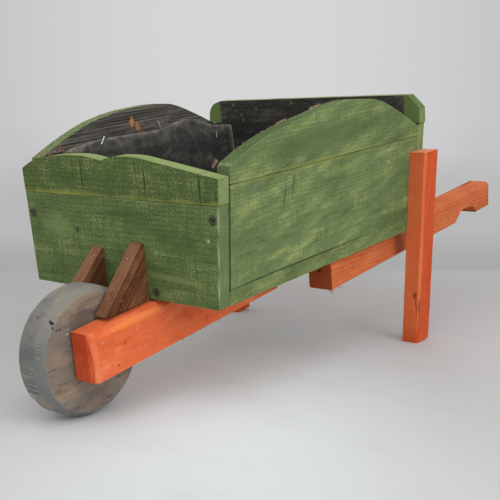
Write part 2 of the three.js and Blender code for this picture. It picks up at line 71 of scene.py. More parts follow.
Colour = tuple[float, float, float, float]
Place = tuple[float, float, float]
Spread = tuple[float, float]

METRES = 0.001  # in one millimetre
BOARD = 19.0  # thickness of every plank
REAR_FACE = 466.3
FRONT_HALF_WIDTH = 156.0
LEAN = 0.086  # of the sides, per mm of height
TOE = 0.058  # widening of the tray on each side, per mm of length
FRONT_JOINT = 123.0  # heights of the glue lines between the planks
SIDE_JOINT = 144.0
REAR_JOINT = 162.0
HUB = (0.0, -79.0, -46.0)
WHEEL_RADIUS = 80.0
WHEEL_THICKNESS = 47.0
FRONTWARD = (0.0, -1.0, 0.0)
STRAY_SEED = 11  # for the noise that hands and saw strayed by


class Side(Enum):
    """The side of the person holding the handles."""

    LEFT = 1
    RIGHT = -1

    @property
    def word(self) -> str:
        """The word that starts the names of this side's pieces."""
        return self.name.lower()


def half_width(y: Any, z: Any) -> Any:
    """Half of the tray's outside width at a length and height."""
    return FRONT_HALF_WIDTH + LEAN * z + TOE * y


def linear(code: str) -> Colour:
    """Turns an sRGB hex colour into linear light.

    Args:
        code: Six hex digits, such as "5f7d45".

    Returns:
        Red, green, blue and full opacity.
    """
    shares = [int(code[i : i + 2], 16) / 255 for i in (0, 2, 4)]
    red, green, blue = (s / 12.92 if s <= 0.04045 else ((s + 0.055) / 1.055) ** 2.4 for s in shares)
    return (red, green, blue, 1.0)


# ---- the tray's frame ----
@dataclass(frozen=True)
class TrayFrame:
    """Places the tray's millimetres in the row's frame.

    Attributes:
        pitch: How far the tray's length is turned up from level, in radians.
        origin: The tray frame's origin in the row's frame, in metres.
    """

    pitch: float
    origin: Place

    @classmethod
    def of_record(cls, record: dict[str, Any]) -> "TrayFrame":
        """Reads the frame's pitch from a foot's axis and its place from the wheel's joint."""
        _, lengthwise, upward = record["mounts"][0]["axis"]
        pitch = math.atan2(lengthwise, -upward)
        across, along, up = record["behaviour"]["joints"][0]["pos_m"]
        x, y, z = (size * METRES for size in HUB)
        turned_y = y * math.cos(pitch) - z * math.sin(pitch)
        turned_z = y * math.sin(pitch) + z * math.cos(pitch)
        return cls(pitch, (across - x, along - turned_y, up - turned_z))

    def turn(self) -> np.ndarray:
        """The rotation from the tray's axes to the row's."""
        c, s = math.cos(self.pitch), math.sin(self.pitch)
        return np.array([[1, 0, 0], [0, c, -s], [0, s, c]])

    def to_row(self, points: np.ndarray) -> np.ndarray:
        """Turns tray millimetres into row metres."""
        return points * METRES @ self.turn().T + np.array(self.origin)

    def to_tray(self, points: np.ndarray) -> np.ndarray:
        """Turns row metres into tray millimetres."""
        return (points - np.array(self.origin)) @ self.turn() / METRES


# ---- meshes ----
def corners(mesh: bpy.types.Mesh) -> np.ndarray:
    """The mesh's corners, one row each."""
    found = np.zeros(len(mesh.vertices) * 3)
    mesh.vertices.foreach_get("co", found)
    return found.reshape(-1, 3)


def shown(name: str, mesh: bpy.types.Mesh, materials: Iterable[bpy.types.Material]) -> bpy.types.Object:
    """Makes an object of a finished mesh.

    Args:
        name: The piece's name.
        mesh: Its mesh, in the row's frame.
        materials: One for each of its slots.

    Returns:
        The object, linked to the scene.
    """
    for material in materials:
        mesh.materials.append(material)
    made = bpy.data.objects.new(name, mesh)
    bpy.context.scene.collection.objects.link(made)
    return made


def mesh_of(name: str, points: Sequence[Any], faces: Sequence[Sequence[int]]) -> bpy.types.Mesh:
    """Makes a mesh from corners and faces, with its normals turned outwards.

    Args:
        name: The mesh's name.
        points: Its corners.
        faces: The corners of each face.

    Returns:
        The mesh.
    """
    mesh = bpy.data.meshes.new(name)
    mesh.from_pydata([tuple(map(float, point)) for point in points], [], [tuple(face) for face in faces])
    work = bmesh.new()
    work.from_mesh(mesh)
    bmesh.ops.recalc_face_normals(work, faces=work.faces)
    work.to_mesh(mesh)
    work.free()
    return mesh


def between_rows(first: Sequence[int], second: Sequence[int]) -> list[tuple[int, ...]]:
    """The faces between two rows of corners."""
    return [(a, b, d, c) for a, b, c, d in zip(first, first[1:], second, second[1:])]


def between_rings(first: int, second: int, count: int) -> list[tuple[int, ...]]:
    """The faces between two rings that start at these corners and have so many each."""
    return between_rows([*range(first, first + count), first], [*range(second, second + count), second])


def smoothed(mesh: bpy.types.Mesh, limit: float = 30.0) -> bpy.types.Mesh:
    """Shades a mesh smooth, apart from edges sharper than the limit, in degrees."""
    mesh.polygons.foreach_set("use_smooth", [True] * len(mesh.polygons))
    mesh.set_sharp_from_angle(angle=math.radians(limit))
    return mesh


def evaluated(made: bpy.types.Object) -> bpy.types.Mesh:
    """A new mesh of the object with its modifiers applied."""
    return bpy.data.meshes.new_from_object(made.evaluated_get(bpy.context.evaluated_depsgraph_get()))


def flattened(mesh: bpy.types.Mesh) -> bpy.types.Mesh:
    """Gives large flat faces the say over the shading, so that slivers beside them don't show."""
    body = shown("shading_body", smoothed(mesh), [])
    rule = body.modifiers.new("flat_faces", "WEIGHTED_NORMAL")
    rule.mode, rule.keep_sharp, rule.weight = "FACE_AREA", True, 100
    result = evaluated(body)
    bpy.data.objects.remove(body)
    return result


def store(mesh: bpy.types.Mesh, name: str, kind: str, domain: str, values: np.ndarray) -> None:
    """Keeps numbers on a mesh for its material to read.

    Args:
        mesh: The mesh.
        name: What the material calls them.
        kind: FLOAT or FLOAT_VECTOR.
        domain: POINT or FACE.
        values: One row for each corner or face.
    """
    layer = mesh.attributes.new(name, kind, domain)
    layer.data.foreach_set("vector" if kind == "FLOAT_VECTOR" else "value", values.astype(np.float32).ravel())


def subtracted(mesh: bpy.types.Mesh, tools: Iterable[bpy.types.Mesh]) -> bpy.types.Mesh:
    """Cuts each tool out of a closed mesh.

    Args:
        mesh: The mesh to cut.
        tools: Closed meshes in the same frame.

    Returns:
        The cut mesh.
    """
    body = shown("cutting_body", mesh, [])
    for tool in tools:
        blade = shown("cutting_blade", tool, [])
        cut = body.modifiers.new("cut", "BOOLEAN")
        cut.operation, cut.solver, cut.object = "DIFFERENCE", "EXACT", blade
        result = evaluated(body)
        body.modifiers.clear()
        body.data = result
        bpy.data.objects.remove(blade)
    result = body.data
    bpy.data.objects.remove(body)
    return result


# ---- what saws, nails and time cut out of a board; places are in the tray's frame ----
@dataclass(frozen=True)
class Furrow:
    """A narrow open line: a saw kerf, a butt joint or a drying crack.

    Attributes:
        path: The points it runs through, on the board's face.
        outward: Which way that face looks.
        width: Its width at the face.
        depth: How deep it goes.
    """

    path: tuple[Place, ...]
    outward: Place
    width: float
    depth: float

    def blade(self) -> bpy.types.Mesh:
        """A wedge that runs along the path, tapered at both ends."""
        out = Vector(self.outward).normalized()
        points, faces = [], []
        last = len(self.path) - 1
        for i, place in enumerate(self.path):
            ahead = Vector(self.path[min(i + 1, last)]) - Vector(self.path[max(i - 1, 0)])
            across = ahead.cross(out).normalized()
            share = 0.25 if i in (0, last) and last > 1 else 1.0
            mouth = across * self.width * share
            above, below = Vector(place) + out, Vector(place) - out * self.depth * share
            points += [above - mouth, above + mouth, below]
        for i in range(last):
            a, b = 3 * i, 3 * i + 3
            faces += [(a, a + 1, b + 1, b), (a + 1, a + 2, b + 2, b + 1), (a + 2, a, b, b + 2)]
        faces += [(0, 2, 1), (3 * last, 3 * last + 1, 3 * last + 2)]
        return mesh_of("furrow", points, faces)


@dataclass(frozen=True)
class Hole:
    """A round hole left by a nail, or a dent, narrowing as it goes in.

    Attributes:
        place: Its middle, on the board's face.
        outward: Which way that face looks.
        radius: At the face.
        depth: How deep it goes.
    """

    place: Place
    outward: Place
    radius: float
    depth: float
    sides: int = 11

    def blade(self) -> bpy.types.Mesh:
        """An uneven blunt cone that stands in the hole."""
        out = Vector(self.outward).normalized()
        first = out.orthogonal().normalized()
        second = out.cross(first)
        chance = random.Random(str(self.place))
        rings = [(1.0, 1.25), (-0.45, 0.8), (-1.0, 0.3)]
        points, faces = [], []
        spread = [chance.uniform(0.85, 1.15) for _ in range(self.sides)]
        for level, share in rings:
            rise = out * (1.0 if level > 0 else level * self.depth)
            for i in range(self.sides):
                angle = math.tau * i / self.sides
                reach = (first * math.cos(angle) + second * math.sin(angle)) * self.radius * share * spread[i]
                points.append(Vector(self.place) + rise + reach)
        for ring in range(len(rings) - 1):
            faces += between_rings(ring * self.sides, (ring + 1) * self.sides, self.sides)
        faces += [tuple(range(self.sides)), tuple(range(2 * self.sides, 3 * self.sides))[::-1]]
        return mesh_of("hole", points, faces)


@dataclass(frozen=True)
class Shaving:
    """An edge planed off, wider at one end than at the other.

    Attributes:
        ends: The edge's two ends.
        reaches: How far back the plane took it at each end.
        sides: The two ways over the faces that meet at the edge.
    """

    ends: tuple[Place, Place]
    reaches: Spread
    sides: tuple[Place, Place]

    def blade(self) -> bpy.types.Mesh:
        """The wedge of wood that comes off, and some air outside it."""
        first, second = (Vector(way) for way in self.sides)
        points = []
        for place, reach in zip(self.ends, self.reaches):
            low, high = Vector(place) + first * reach, Vector(place) + second * reach
            inside = Vector(place) - (first + second) * reach
            points += [low + (low - high) * 0.4, high + (high - low) * 0.4, inside]
        return mesh_of("shaving", points, [(0, 1, 2), (3, 4, 5), (0, 1, 4, 3), (1, 2, 5, 4), (2, 0, 3, 5)])


# ---- boards and beams ----
@dataclass
class Timber:
    """One piece of wood that stands for its CAD node: the same shape, with worn edges and a hand-cut line.

    Attributes:
        node: The CAD node's name.
        lie: Gives each point's place along the grain, across it and through the piece, in mm.
        materials: The outer finish, and where there is one the finish of the inner face.
        pith: Where the middle of the tree was, across the grain and through the piece.
        edge: Radius that wear has given the edges.
        wobble: How far hands and saw strayed.
        cuts: Furrows and holes.
    """

    node: str
    lie: Callable[[np.ndarray], np.ndarray]
    materials: Sequence[bpy.types.Material]
    pith: Spread = (60.0, -45.0)
    edge: float = 0.8
    wobble: float = 0.22
    cuts: Sequence[Furrow | Hole | Shaving] = ()

    STEP = 7.0  # longest stretch of edge between two corners
    SUPPORT = 2.6  # how far wear reaches over a face from its edge
    SHARP = math.radians(24)
    SMALLEST = 13.0  # a ring of sharp edges smaller than this is a screw's hole
    FLAT = math.radians(0.7)

    def build(self, tray: TrayFrame) -> bpy.types.Object:
        """Makes the piece and puts it in its node's place.

        Args:
            tray: The tray's frame.

        Returns:
            The finished piece, riding with the barrow.
        """
        source = bpy.data.objects[self.node].data
        work = bmesh.new()
        work.from_mesh(source)
        for corner, place in zip(work.verts, tray.to_tray(corners(source))):
            corner.co = place
        bmesh.ops.remove_doubles(work, verts=work.verts, dist=0.01)
        bmesh.ops.dissolve_limit(work, angle_limit=self.FLAT, verts=work.verts, edges=work.edges)
        self.divide(work)
        self.ease(work, self.SUPPORT, 1.0)
        rubbed = self.ease(work, self.edge, 0.5)
        touched = work.verts.layers.float.new("wear")
        for face in rubbed:
            for corner in face.verts:
                corner[touched] = 1.0
        bmesh.ops.triangulate(work, faces=[f for f in work.faces if len(f.verts) > 4])
        mesh = bpy.data.meshes.new(f"{self.node}_wood")
        work.to_mesh(mesh)
        work.free()
        if self.cuts:
            mesh = subtracted(mesh, [cut.blade() for cut in self.cuts])
        self.mark(mesh)
        self.settle(mesh, tray)
        made = shown(f"{self.node}_wood", flattened(mesh), self.materials)
        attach(made, "barrow")
        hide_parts(self.node)
        LOG.info("%s: %d corners", made.name, len(mesh.vertices))
        return made

    def sharp(self, work: bmesh.types.BMesh) -> list[bmesh.types.BMEdge]:
        """The piece's own sharp edges, without those of its screw holes."""
        edges = [e for e in work.edges if len(e.link_faces) == 2 and e.calc_face_angle() > self.SHARP]
        kept, seen = [], set()
        chosen = set(edges)
        for start in edges:
            if start in seen:
                continue
            ring, queue = [], [start]
            seen.add(start)
            while queue:
                edge = queue.pop()
                ring.append(edge)
                for other in (o for v in edge.verts for o in v.link_edges if o in chosen and o not in seen):
                    seen.add(other)
                    queue.append(other)
            places = np.array([v.co for e in ring for v in e.verts])
            if np.ptp(places, axis=0).max() > self.SMALLEST:
                kept += ring
        return kept

    def divide(self, work: bmesh.types.BMesh) -> None:
        """Puts corners along the long edges, so that they can stray."""
        for edge in self.sharp(work):
            parts = math.ceil(edge.calc_length() / self.STEP)
            corner, stretch = edge.verts[0], edge
            for left in range(parts, 1, -1):
                stretch, corner = bmesh.utils.edge_split(stretch, corner, 1 / left)
                others = [other for other in corner.link_edges if other is not stretch]
                stretch = next(other for other in others if self.in_line(other, stretch, corner))

    @staticmethod
    def in_line(edge: bmesh.types.BMEdge, other: bmesh.types.BMEdge, corner: bmesh.types.BMVert) -> bool:
        """Whether an edge carries straight on from the other at their corner."""
        away = edge.other_vert(corner).co - corner.co
        back = other.other_vert(corner).co - corner.co
        return away.length > 0 and back.length > 0 and away.angle(back) > math.radians(179)

    def ease(self, work: bmesh.types.BMesh, reach: float, profile: float) -> list[bmesh.types.BMFace]:
        """Rounds the sharp edges, or with a profile of 1 only puts a line on each side of them."""
        result = bmesh.ops.bevel(
            work,
            geom=self.sharp(work),
            offset=reach,
            offset_type="OFFSET",
            segments=2,
            profile=profile,
            affect="EDGES",
            clamp_overlap=True,
        )
        return result["faces"]

    def mark(self, mesh: bpy.types.Mesh) -> None:
        """Stores the grain, the place on the board, and which faces are ends, edges and insides."""
        places = self.lie(corners(mesh))
        chance = random.Random(self.node)
        shift = np.array([chance.uniform(0, 900), 0, 0])
        store(mesh, "timber", "FLOAT_VECTOR", "POINT", places + shift - np.array([0, *self.pith]))
        store(mesh, "board", "FLOAT_VECTOR", "POINT", places)
        looks = np.zeros((len(mesh.polygons), 3))
        for i, face in enumerate(mesh.polygons):
            ends = self.lie(np.array([face.center, face.center + face.normal]))
            looks[i] = ends[1] - ends[0]
        steep = 0.75
        facing = np.stack([*(np.abs(looks[:, :2]) > steep).T, looks[:, 2] > steep], axis=1)
        store(mesh, "faces", "FLOAT_VECTOR", "FACE", facing.astype(float))
        if len(self.materials) > 1:
            mesh.polygons.foreach_set("material_index", facing[:, 2].astype(np.int32))

    def settle(self, mesh: bpy.types.Mesh, tray: TrayFrame) -> None:
        """Lets the edges stray a little, inside the CAD node's box, and goes over to the row's frame.

        The whole section shifts together along the piece, so that its faces stay flat. Only the rubbed
        corners stray by themselves.
        """
        chance = random.Random(self.node + "wobble")
        shift = Vector((chance.uniform(0, 99), chance.uniform(0, 99), chance.uniform(0, 99)))
        places = corners(mesh)
        along = self.lie(places)[:, 0]
        rubbed = np.zeros(len(places))
        mesh.attributes["wear"].data.foreach_get("value", rubbed)
        for i, place in enumerate(places):
            slow = noise.noise_vector(Vector((along[i] / 34, 0, 0)) + shift)
            quick = noise.noise_vector(Vector(place) / 6.5 + shift)
            places[i] += (np.array(slow) + np.array(quick) * rubbed[i]) * self.wobble
        low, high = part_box(self.node)
        mesh.vertices.foreach_set("co", np.clip(tray.to_row(places), low, high).ravel())
        mesh.update()


# ---- finishes ----
SOFTLY = {"interpolation_type": "SMOOTHSTEP"}  # a range's soft change from its start to its end


def add(
    tree: bpy.types.NodeTree, kind: str, links: dict[Any, Any] | Sequence[Any] = (), **settings: Any
) -> bpy.types.NodeSocket | None:
    """Adds one node.

    Args:
        tree: The material's nodes.
        kind: The node's type, without the ShaderNode that it starts with.
        links: A socket to link, or a value to set, for each input in turn or by name.
        settings: Its properties.

    Returns:
        Its first output that is in use, where it has one.
    """
    made = tree.nodes.new(f"ShaderNode{kind}")
    for key, value in settings.items():
        setattr(made, key, value)
    for key, value in links.items() if isinstance(links, dict) else enumerate(links):
        if isinstance(value, bpy.types.NodeSocket):
            tree.links.new(value, made.inputs[key])
        else:
            made.inputs[key].default_value = value
    return next((output for output in made.outputs if output.enabled), None)


def started(name: str) -> tuple[bpy.types.Material, bpy.types.NodeTree]:
    """A new material with no nodes in it yet."""
    material = bpy.data.materials.new(name)
    material.use_nodes = True
    material.node_tree.nodes.clear()
    return material, material.node_tree


def streaks(
    tree: bpy.types.NodeTree, place: bpy.types.NodeSocket, size: Place, detail: float = 2.0
) -> bpy.types.NodeSocket:
    """A cloudy pattern from 0 to 1.

    Args:
        tree: The material's nodes.
        place: Where on the piece, in mm.
        size: The clouds' length, width and depth, in mm.
        detail: How many finer clouds lie inside them.

    Returns:
        The pattern.
    """
    drawn = {0: place, 1: tuple(1 / length for length in size)}
    scaled = add(tree, "VectorMath", drawn, operation="MULTIPLY")
    settings = {"Vector": scaled, "Scale": 1.0, "Detail": detail, "Roughness": 0.6}
    return add(tree, "TexNoise", settings)


def in_millimetres(tree: bpy.types.NodeTree) -> bpy.types.NodeSocket:
    """The place on a piece that stores none of its own."""
    place = add(tree, "TexCoord").node.outputs["Object"]
    return add(tree, "VectorMath", {0: place, "Scale": 1 / METRES}, operation="SCALE")


def laid_over(
    tree: bpy.types.NodeTree, ground: Any, layers: Iterable[tuple[Any, Any]]
) -> bpy.types.NodeSocket:
    """Lays colours, as hex codes or sockets, over the ground colour, each as far as its mask says."""
    for mask, colour in layers:
        under, over = (linear(tint) if isinstance(tint, str) else tint for tint in (ground, colour))
        ground = add(tree, "Mix", {0: mask, 6: under, 7: over}, data_type="RGBA")
    return ground


def weighed(
    tree: bpy.types.NodeTree, parts: Iterable[tuple[bpy.types.NodeSocket, float]], start: float = 0.5
) -> Any:
    """Adds patterns, each by its weight about its middle, to a starting value."""
    parts = list(parts)
    total: Any = start - sum(weight for _, weight in parts) / 2
    for pattern, weight in parts:
        total = add(tree, "Math", (pattern, weight, total), operation="MULTIPLY_ADD")
    return total


@dataclass(frozen=True)
class Spot:
    """A knot, smudge, fleck or patch of painted shade at one place on a board.

    Attributes:
        at: Its middle, along the grain and across it, in mm.
        size: Its half length and half width, in mm.
        colour: Its colour in hex.
        strength: How much of the wood's own colour it hides.
        ragged: How far its outline strays, as a share of its size.
        turn: How far its length is turned from the grain, in degrees.
        layer: Its middle and half thickness through the piece; a thickness of 0 goes right through.
    """

    at: Spread
    size: Spread
    colour: str
    strength: float = 0.8
    ragged: float = 0.8
    turn: float = 0.0
    layer: Spread = (0.0, 0.0)

    def mask(self, tree: bpy.types.NodeTree, board: bpy.types.NodeSocket) -> bpy.types.NodeSocket:
        """How far the spot covers each point, as a share."""
        angle, (middle, thick) = math.radians(self.turn), self.layer
        moved = add(tree, "VectorMath", (board, (*self.at, middle)), operation="SUBTRACT")
        turned = add(tree, "VectorRotate", {0: moved, "Angle": -angle}, rotation_type="Z_AXIS")
        deep = 1 / thick if thick else 0.0
        share = {0: turned, 1: (1 / self.size[0], 1 / self.size[1], deep)}
        scaled = add(tree, "VectorMath", share, operation="MULTIPLY")
        reach = add(tree, "VectorMath", (scaled,), operation="LENGTH")
        fine = max(1.5, min(self.size) * 0.7)
        rough = streaks(tree, board, (fine, fine, 40.0), 3.0)
        edge = add(tree, "Math", (rough, 2 * self.ragged, -self.ragged), operation="MULTIPLY_ADD")
        ragged = add(tree, "Math", (reach, edge), operation="ADD")
        return add(tree, "MapRange", (ragged, 1.1, 0.35, 0.0, self.strength), **SOFTLY)


@dataclass(frozen=True)
class StainedPine:
    """Softwood, sawn and left rough, with a thin colour brushed on that the saw lines and grain show through.

    The eye gets uneven colour, darker late wood, fine lines across the grain from the saw, and paler edges,
    partly painted highlight where they face up.

    Attributes:
        name: The finish's name.
        deep: Colour where the stain has soaked in.
        mid: Its usual colour.
        pale: Colour where it is thin.
        fleck: Colour of the specks of bare wood.
        worn: Colour of the rubbed edges.
        end: Colour that the end grain leans to.
        ring_gap: Width of one year's growth, in mm.
        waver: How far the growth lines stray, in mm.
        ring, fibre, saw, cloud, blotch, speck: Weight of each pattern.
        saw_gap: Distance between the saw's lines; real ones are under 1 mm and wouldn't show.
        cloud_size: Length and width of the uneven patches.
        stroke: Weight of the brush strokes, and stroke_turn their slant in degrees.
        glue_lines: Heights of the joints across the grain, each with a smear of glue and an open line.
        glue, seam: Colours of the glue and of the open line.
        glue_strength, bead: Weight of the smear and of the thin line of glue.
        spots: Knots, smudges and flecks.
        rough: Roughness of the dry stain.
        relief: Height of the grain that can be felt, in mm.
    """

    name: str
    deep: str
    mid: str
    pale: str
    fleck: str
    worn: str
    end: str
    ring_gap: float = 4.2
    waver: float = 8.0
    ring: float = 0.15
    fibre: float = 0.5
    saw: float = 0.9
    saw_gap: float = 2.2
    cloud: float = 0.7
    cloud_size: Spread = (70.0, 30.0)
    blotch: float = 0.4
    speck: float = 0.8
    stroke: float = 0.0
    stroke_turn: float = 0.0
    glue_lines: tuple[float, ...] = ()
    glue: str = "98963f"
    glue_strength: float = 0.5
    bead: float = 0.8
    seam: str = "333f22"
    # Tone shift of the sawn edges; where it is raised, as on the front's crest, it is partly painted
    # highlight on faces that look up.
    edge_lift: float = 0.32
    # Tone shift of the end grain; where it is raised, as on the legs' tops, it is painted highlight.
    end_lift: float = 0.2
    spots: tuple[Spot, ...] = ()
    rough: float = 0.74
    relief: float = 0.3

    def rings(self, tree: bpy.types.NodeTree, timber: bpy.types.NodeSocket) -> bpy.types.NodeSocket:
        """Late wood: each ring darkens slowly and ends at once."""
        flat = add(tree, "VectorMath", (timber, (0.02, 1.0, 1.0)), operation="MULTIPLY")
        radius = add(tree, "VectorMath", (flat,), operation="LENGTH")
        warp = streaks(tree, timber, (170.0, 30.0, 30.0), 1.5)
        bent = add(tree, "Math", (warp, self.waver, radius), operation="MULTIPLY_ADD")
        years = add(tree, "Math", (bent, self.ring_gap), operation="DIVIDE")
        phase = add(tree, "Math", (years,), operation="FRACT")
        return add(tree, "Math", (phase, 2.2), operation="POWER")

    def marks(
        self, tree: bpy.types.NodeTree, board: bpy.types.NodeSocket, uneven: bpy.types.NodeSocket
    ) -> list[tuple[Any, Any]]:
        """The glue smears and the spots, as masks and colours."""
        layers = []
        across = add(tree, "SeparateXYZ", (board,)).node.outputs[1]
        for line in self.glue_lines:
            above = add(tree, "Math", (across, line), operation="SUBTRACT")
            off = add(tree, "Math", (above,), operation="ABSOLUTE")
            smear = streaks(tree, board, (34.0, 5.0, 9.0), 3.0)
            reach = add(tree, "Math", (smear, -22.0, off), operation="MULTIPLY_ADD")
            smeared = add(tree, "MapRange", (reach, -5.5, -9.5, 0.0, self.glue_strength), **SOFTLY)
            gaps = streaks(tree, board, (21.0, 30.0, 30.0), 2.0)
            broken = add(tree, "MapRange", (gaps, 0.4, 0.58, 0.0, self.bead), **SOFTLY)
            bead = add(tree, "Math", (above, 1.1), operation="SUBTRACT")
            bead = add(tree, "Math", (bead,), operation="ABSOLUTE")
            bead = add(tree, "Math", (uneven, -1.2, bead), operation="MULTIPLY_ADD")
            bead = add(tree, "MapRange", (bead, 0.5, 0.0), **SOFTLY)
            bead = add(tree, "Math", (bead, broken), operation="MULTIPLY")
            gaps = streaks(tree, board, (48.0, 30.0, 30.0), 1.0)
            open_joint = add(tree, "MapRange", (gaps, 0.25, 0.5, 0.0, 0.9), **SOFTLY)
            seam = add(tree, "MapRange", (off, 1.1, 0.5), **SOFTLY)
            seam = add(tree, "Math", (seam, open_joint), operation="MULTIPLY")
            layers += [(smeared, self.glue), (bead, self.glue), (seam, self.seam)]
        return layers + [(spot.mask(tree, board), spot.colour) for spot in self.spots]

    def build(self) -> bpy.types.Material:
        """Makes the material."""
        material, tree = started(self.name)
        names = ("timber", "board", "faces", "wear")
        timber, board, faces, wear = (
            add(tree, "Attribute", attribute_name=name).node.outputs["Vector"] for name in names
        )
        end, edge, _ = add(tree, "SeparateXYZ", (faces,)).node.outputs
        late = self.rings(tree, timber)
        fibre = streaks(tree, timber, (48.0, 1.7, 1.7), 3.0)
        clouds = streaks(tree, timber, (*self.cloud_size, 30.0), 1.0)
        blotches = streaks(tree, timber, (19.0, 12.0, 12.0), 2.0)
        lines = streaks(tree, timber, (self.saw_gap, 38.0, 38.0), 2.0)
        patchy = streaks(tree, timber, (60.0, 45.0, 45.0), 1.0)
        sawn = add(tree, "MapRange", (patchy, 0.3, 0.65), **SOFTLY)
        lines = add(tree, "Math", (lines, 0.5), operation="SUBTRACT")
        saw = add(tree, "Math", (lines, sawn, 0.5), operation="MULTIPLY_ADD")
        grit = streaks(tree, timber, (2.3, 1.8, 1.8), 2.0)
        parts = [(late, -self.ring), (fibre, self.fibre), (clouds, self.cloud), (blotches, self.blotch)]
        parts += [(saw, self.saw), (grit, self.speck)]
        if self.stroke:
            drawn = {0: board, "Angle": math.radians(-self.stroke_turn)}
            slant = add(tree, "VectorRotate", drawn, rotation_type="Z_AXIS")
            parts.append((streaks(tree, slant, (110.0, 17.0, 40.0), 1.5), self.stroke))
        tone = weighed(tree, parts, 0.5)
        # Sawn edges shift in tone; where they are paler, this is partly painted highlight.
        tone = add(tree, "Math", (edge, self.edge_lift, tone), operation="MULTIPLY_ADD")
        # End grain shifts in tone; where it is raised, as on the legs' tops, this is painted highlight.
        cut_rings = add(tree, "Math", (late, -0.22, self.end_lift + 0.08), operation="MULTIPLY_ADD")
        tone = add(tree, "Math", (end, cut_rings, tone), operation="MULTIPLY_ADD")
        rubbed = add(tree, "MapRange", (fibre, 0.35, 0.65, 0.0, 0.7), **SOFTLY)
        rubbed = add(tree, "Math", (wear, rubbed), operation="MULTIPLY")
        bare = streaks(tree, timber, (3.4, 2.6, 2.6), 1.0)
        flecks = add(tree, "MapRange", (bare, 0.68, 0.82, 0.0, self.speck * 0.7), **SOFTLY)
        layers = [
            (add(tree, "MapRange", (tone, 0.5, 0.1), **SOFTLY), self.deep),
            (add(tree, "MapRange", (tone, 0.5, 0.95), **SOFTLY), self.pale),
            (add(tree, "Math", (end, 0.4), operation="MULTIPLY"), self.end),
            (flecks, self.fleck),
            *self.marks(tree, board, grit),
            (rubbed, self.worn),
        ]
        colour = laid_over(tree, self.mid, layers)
        height = weighed(tree, [(late, -0.5), (fibre, 0.9), (saw, 0.9), (grit, 0.7)], 0.0)
        bump = {"Height": height, "Distance": self.relief * METRES, "Strength": 0.8}
        roughness = add(tree, "Math", (grit, 0.2, self.rough - 0.1), operation="MULTIPLY_ADD")
        finished(tree, colour, roughness, bump)
        return material


def finished(
    tree: bpy.types.NodeTree, colour: Any, roughness: Any, bump: dict[str, Any], metallic: float = 0.0
) -> None:
    """Ends a material in its shader.

    Args:
        tree: The material's nodes.
        colour: Its colour.
        roughness: Its roughness.
        bump: The bump's inputs.
        metallic: 1 for bare metal.
    """
    relief = add(tree, "Bump", bump)
    links = {"Base Color": colour, "Roughness": roughness, "Normal": relief, "Metallic": metallic}
    if not metallic:
        links["Specular IOR Level"] = 0.15
    shader = add(tree, "BsdfPrincipled", links)
    add(tree, "OutputMaterial", {"Surface": shader})


@dataclass(frozen=True)
class BlackedPine:
    """The tray's inside: the same boards with a thin black paint brushed along the grain, now dusty.

    The eye gets grey wood grain through matt black, a haze of dust, and the stain where the black stops.

    Attributes:
        name: The finish's name.
        limits: Where along the grain the black stops at each end.
        stain: The stain's colour beyond them.
        spots: Flecks and splashes.
    """

    name: str
    limits: Spread = (-1000.0, 1000.0)
    stain: str = "5f7041"
    black: str = "2d2c2a"
    grey: str = "605c55"
    dust: str = "857f74"
    spots: tuple[Spot, ...] = ()

    def build(self) -> bpy.types.Material:
        """Makes the material."""
        material, tree = started(self.name)
        names = ("timber", "board", "wear")
        timber, board, wear = (
            add(tree, "Attribute", attribute_name=name).node.outputs["Vector"] for name in names
        )
        fibre = streaks(tree, timber, (150.0, 1.6, 1.6), 2.0)
        clouds = streaks(tree, timber, (48.0, 15.0, 20.0), 3.0)
        grit = streaks(tree, timber, (3.0, 2.0, 2.0), 3.0)
        tone = weighed(tree, [(fibre, 0.5), (clouds, 0.7), (grit, 1.1)], 0.5)
        along = add(tree, "SeparateXYZ", (board,))
        ragged = add(tree, "Math", (grit, 5.0, along), operation="MULTIPLY_ADD")
        rubbed = add(tree, "MapRange", (fibre, 0.4, 0.7, 0.0, 0.6), **SOFTLY)
        low, high = self.limits
        layers = [
            (add(tree, "MapRange", (tone, 0.3, 0.95, 0.0, 0.75), **SOFTLY), self.grey),
            (add(tree, "MapRange", (clouds, 0.52, 0.8, 0.0, 0.3), **SOFTLY), self.dust),
            *((spot.mask(tree, board), spot.colour) for spot in self.spots),
            (add(tree, "MapRange", (ragged, low + 3, low + 1), **SOFTLY), self.stain),
            (add(tree, "MapRange", (ragged, high + 1, high + 3), **SOFTLY), self.stain),
            (add(tree, "Math", (wear, rubbed), operation="MULTIPLY"), self.dust),
        ]
        colour = laid_over(tree, self.black, layers)
        height = weighed(tree, [(fibre, 0.8), (grit, 0.8)], 0.0)
        finished(tree, colour, 0.82, {"Height": height, "Distance": 0.4 * METRES, "Strength": 0.9})
        return material


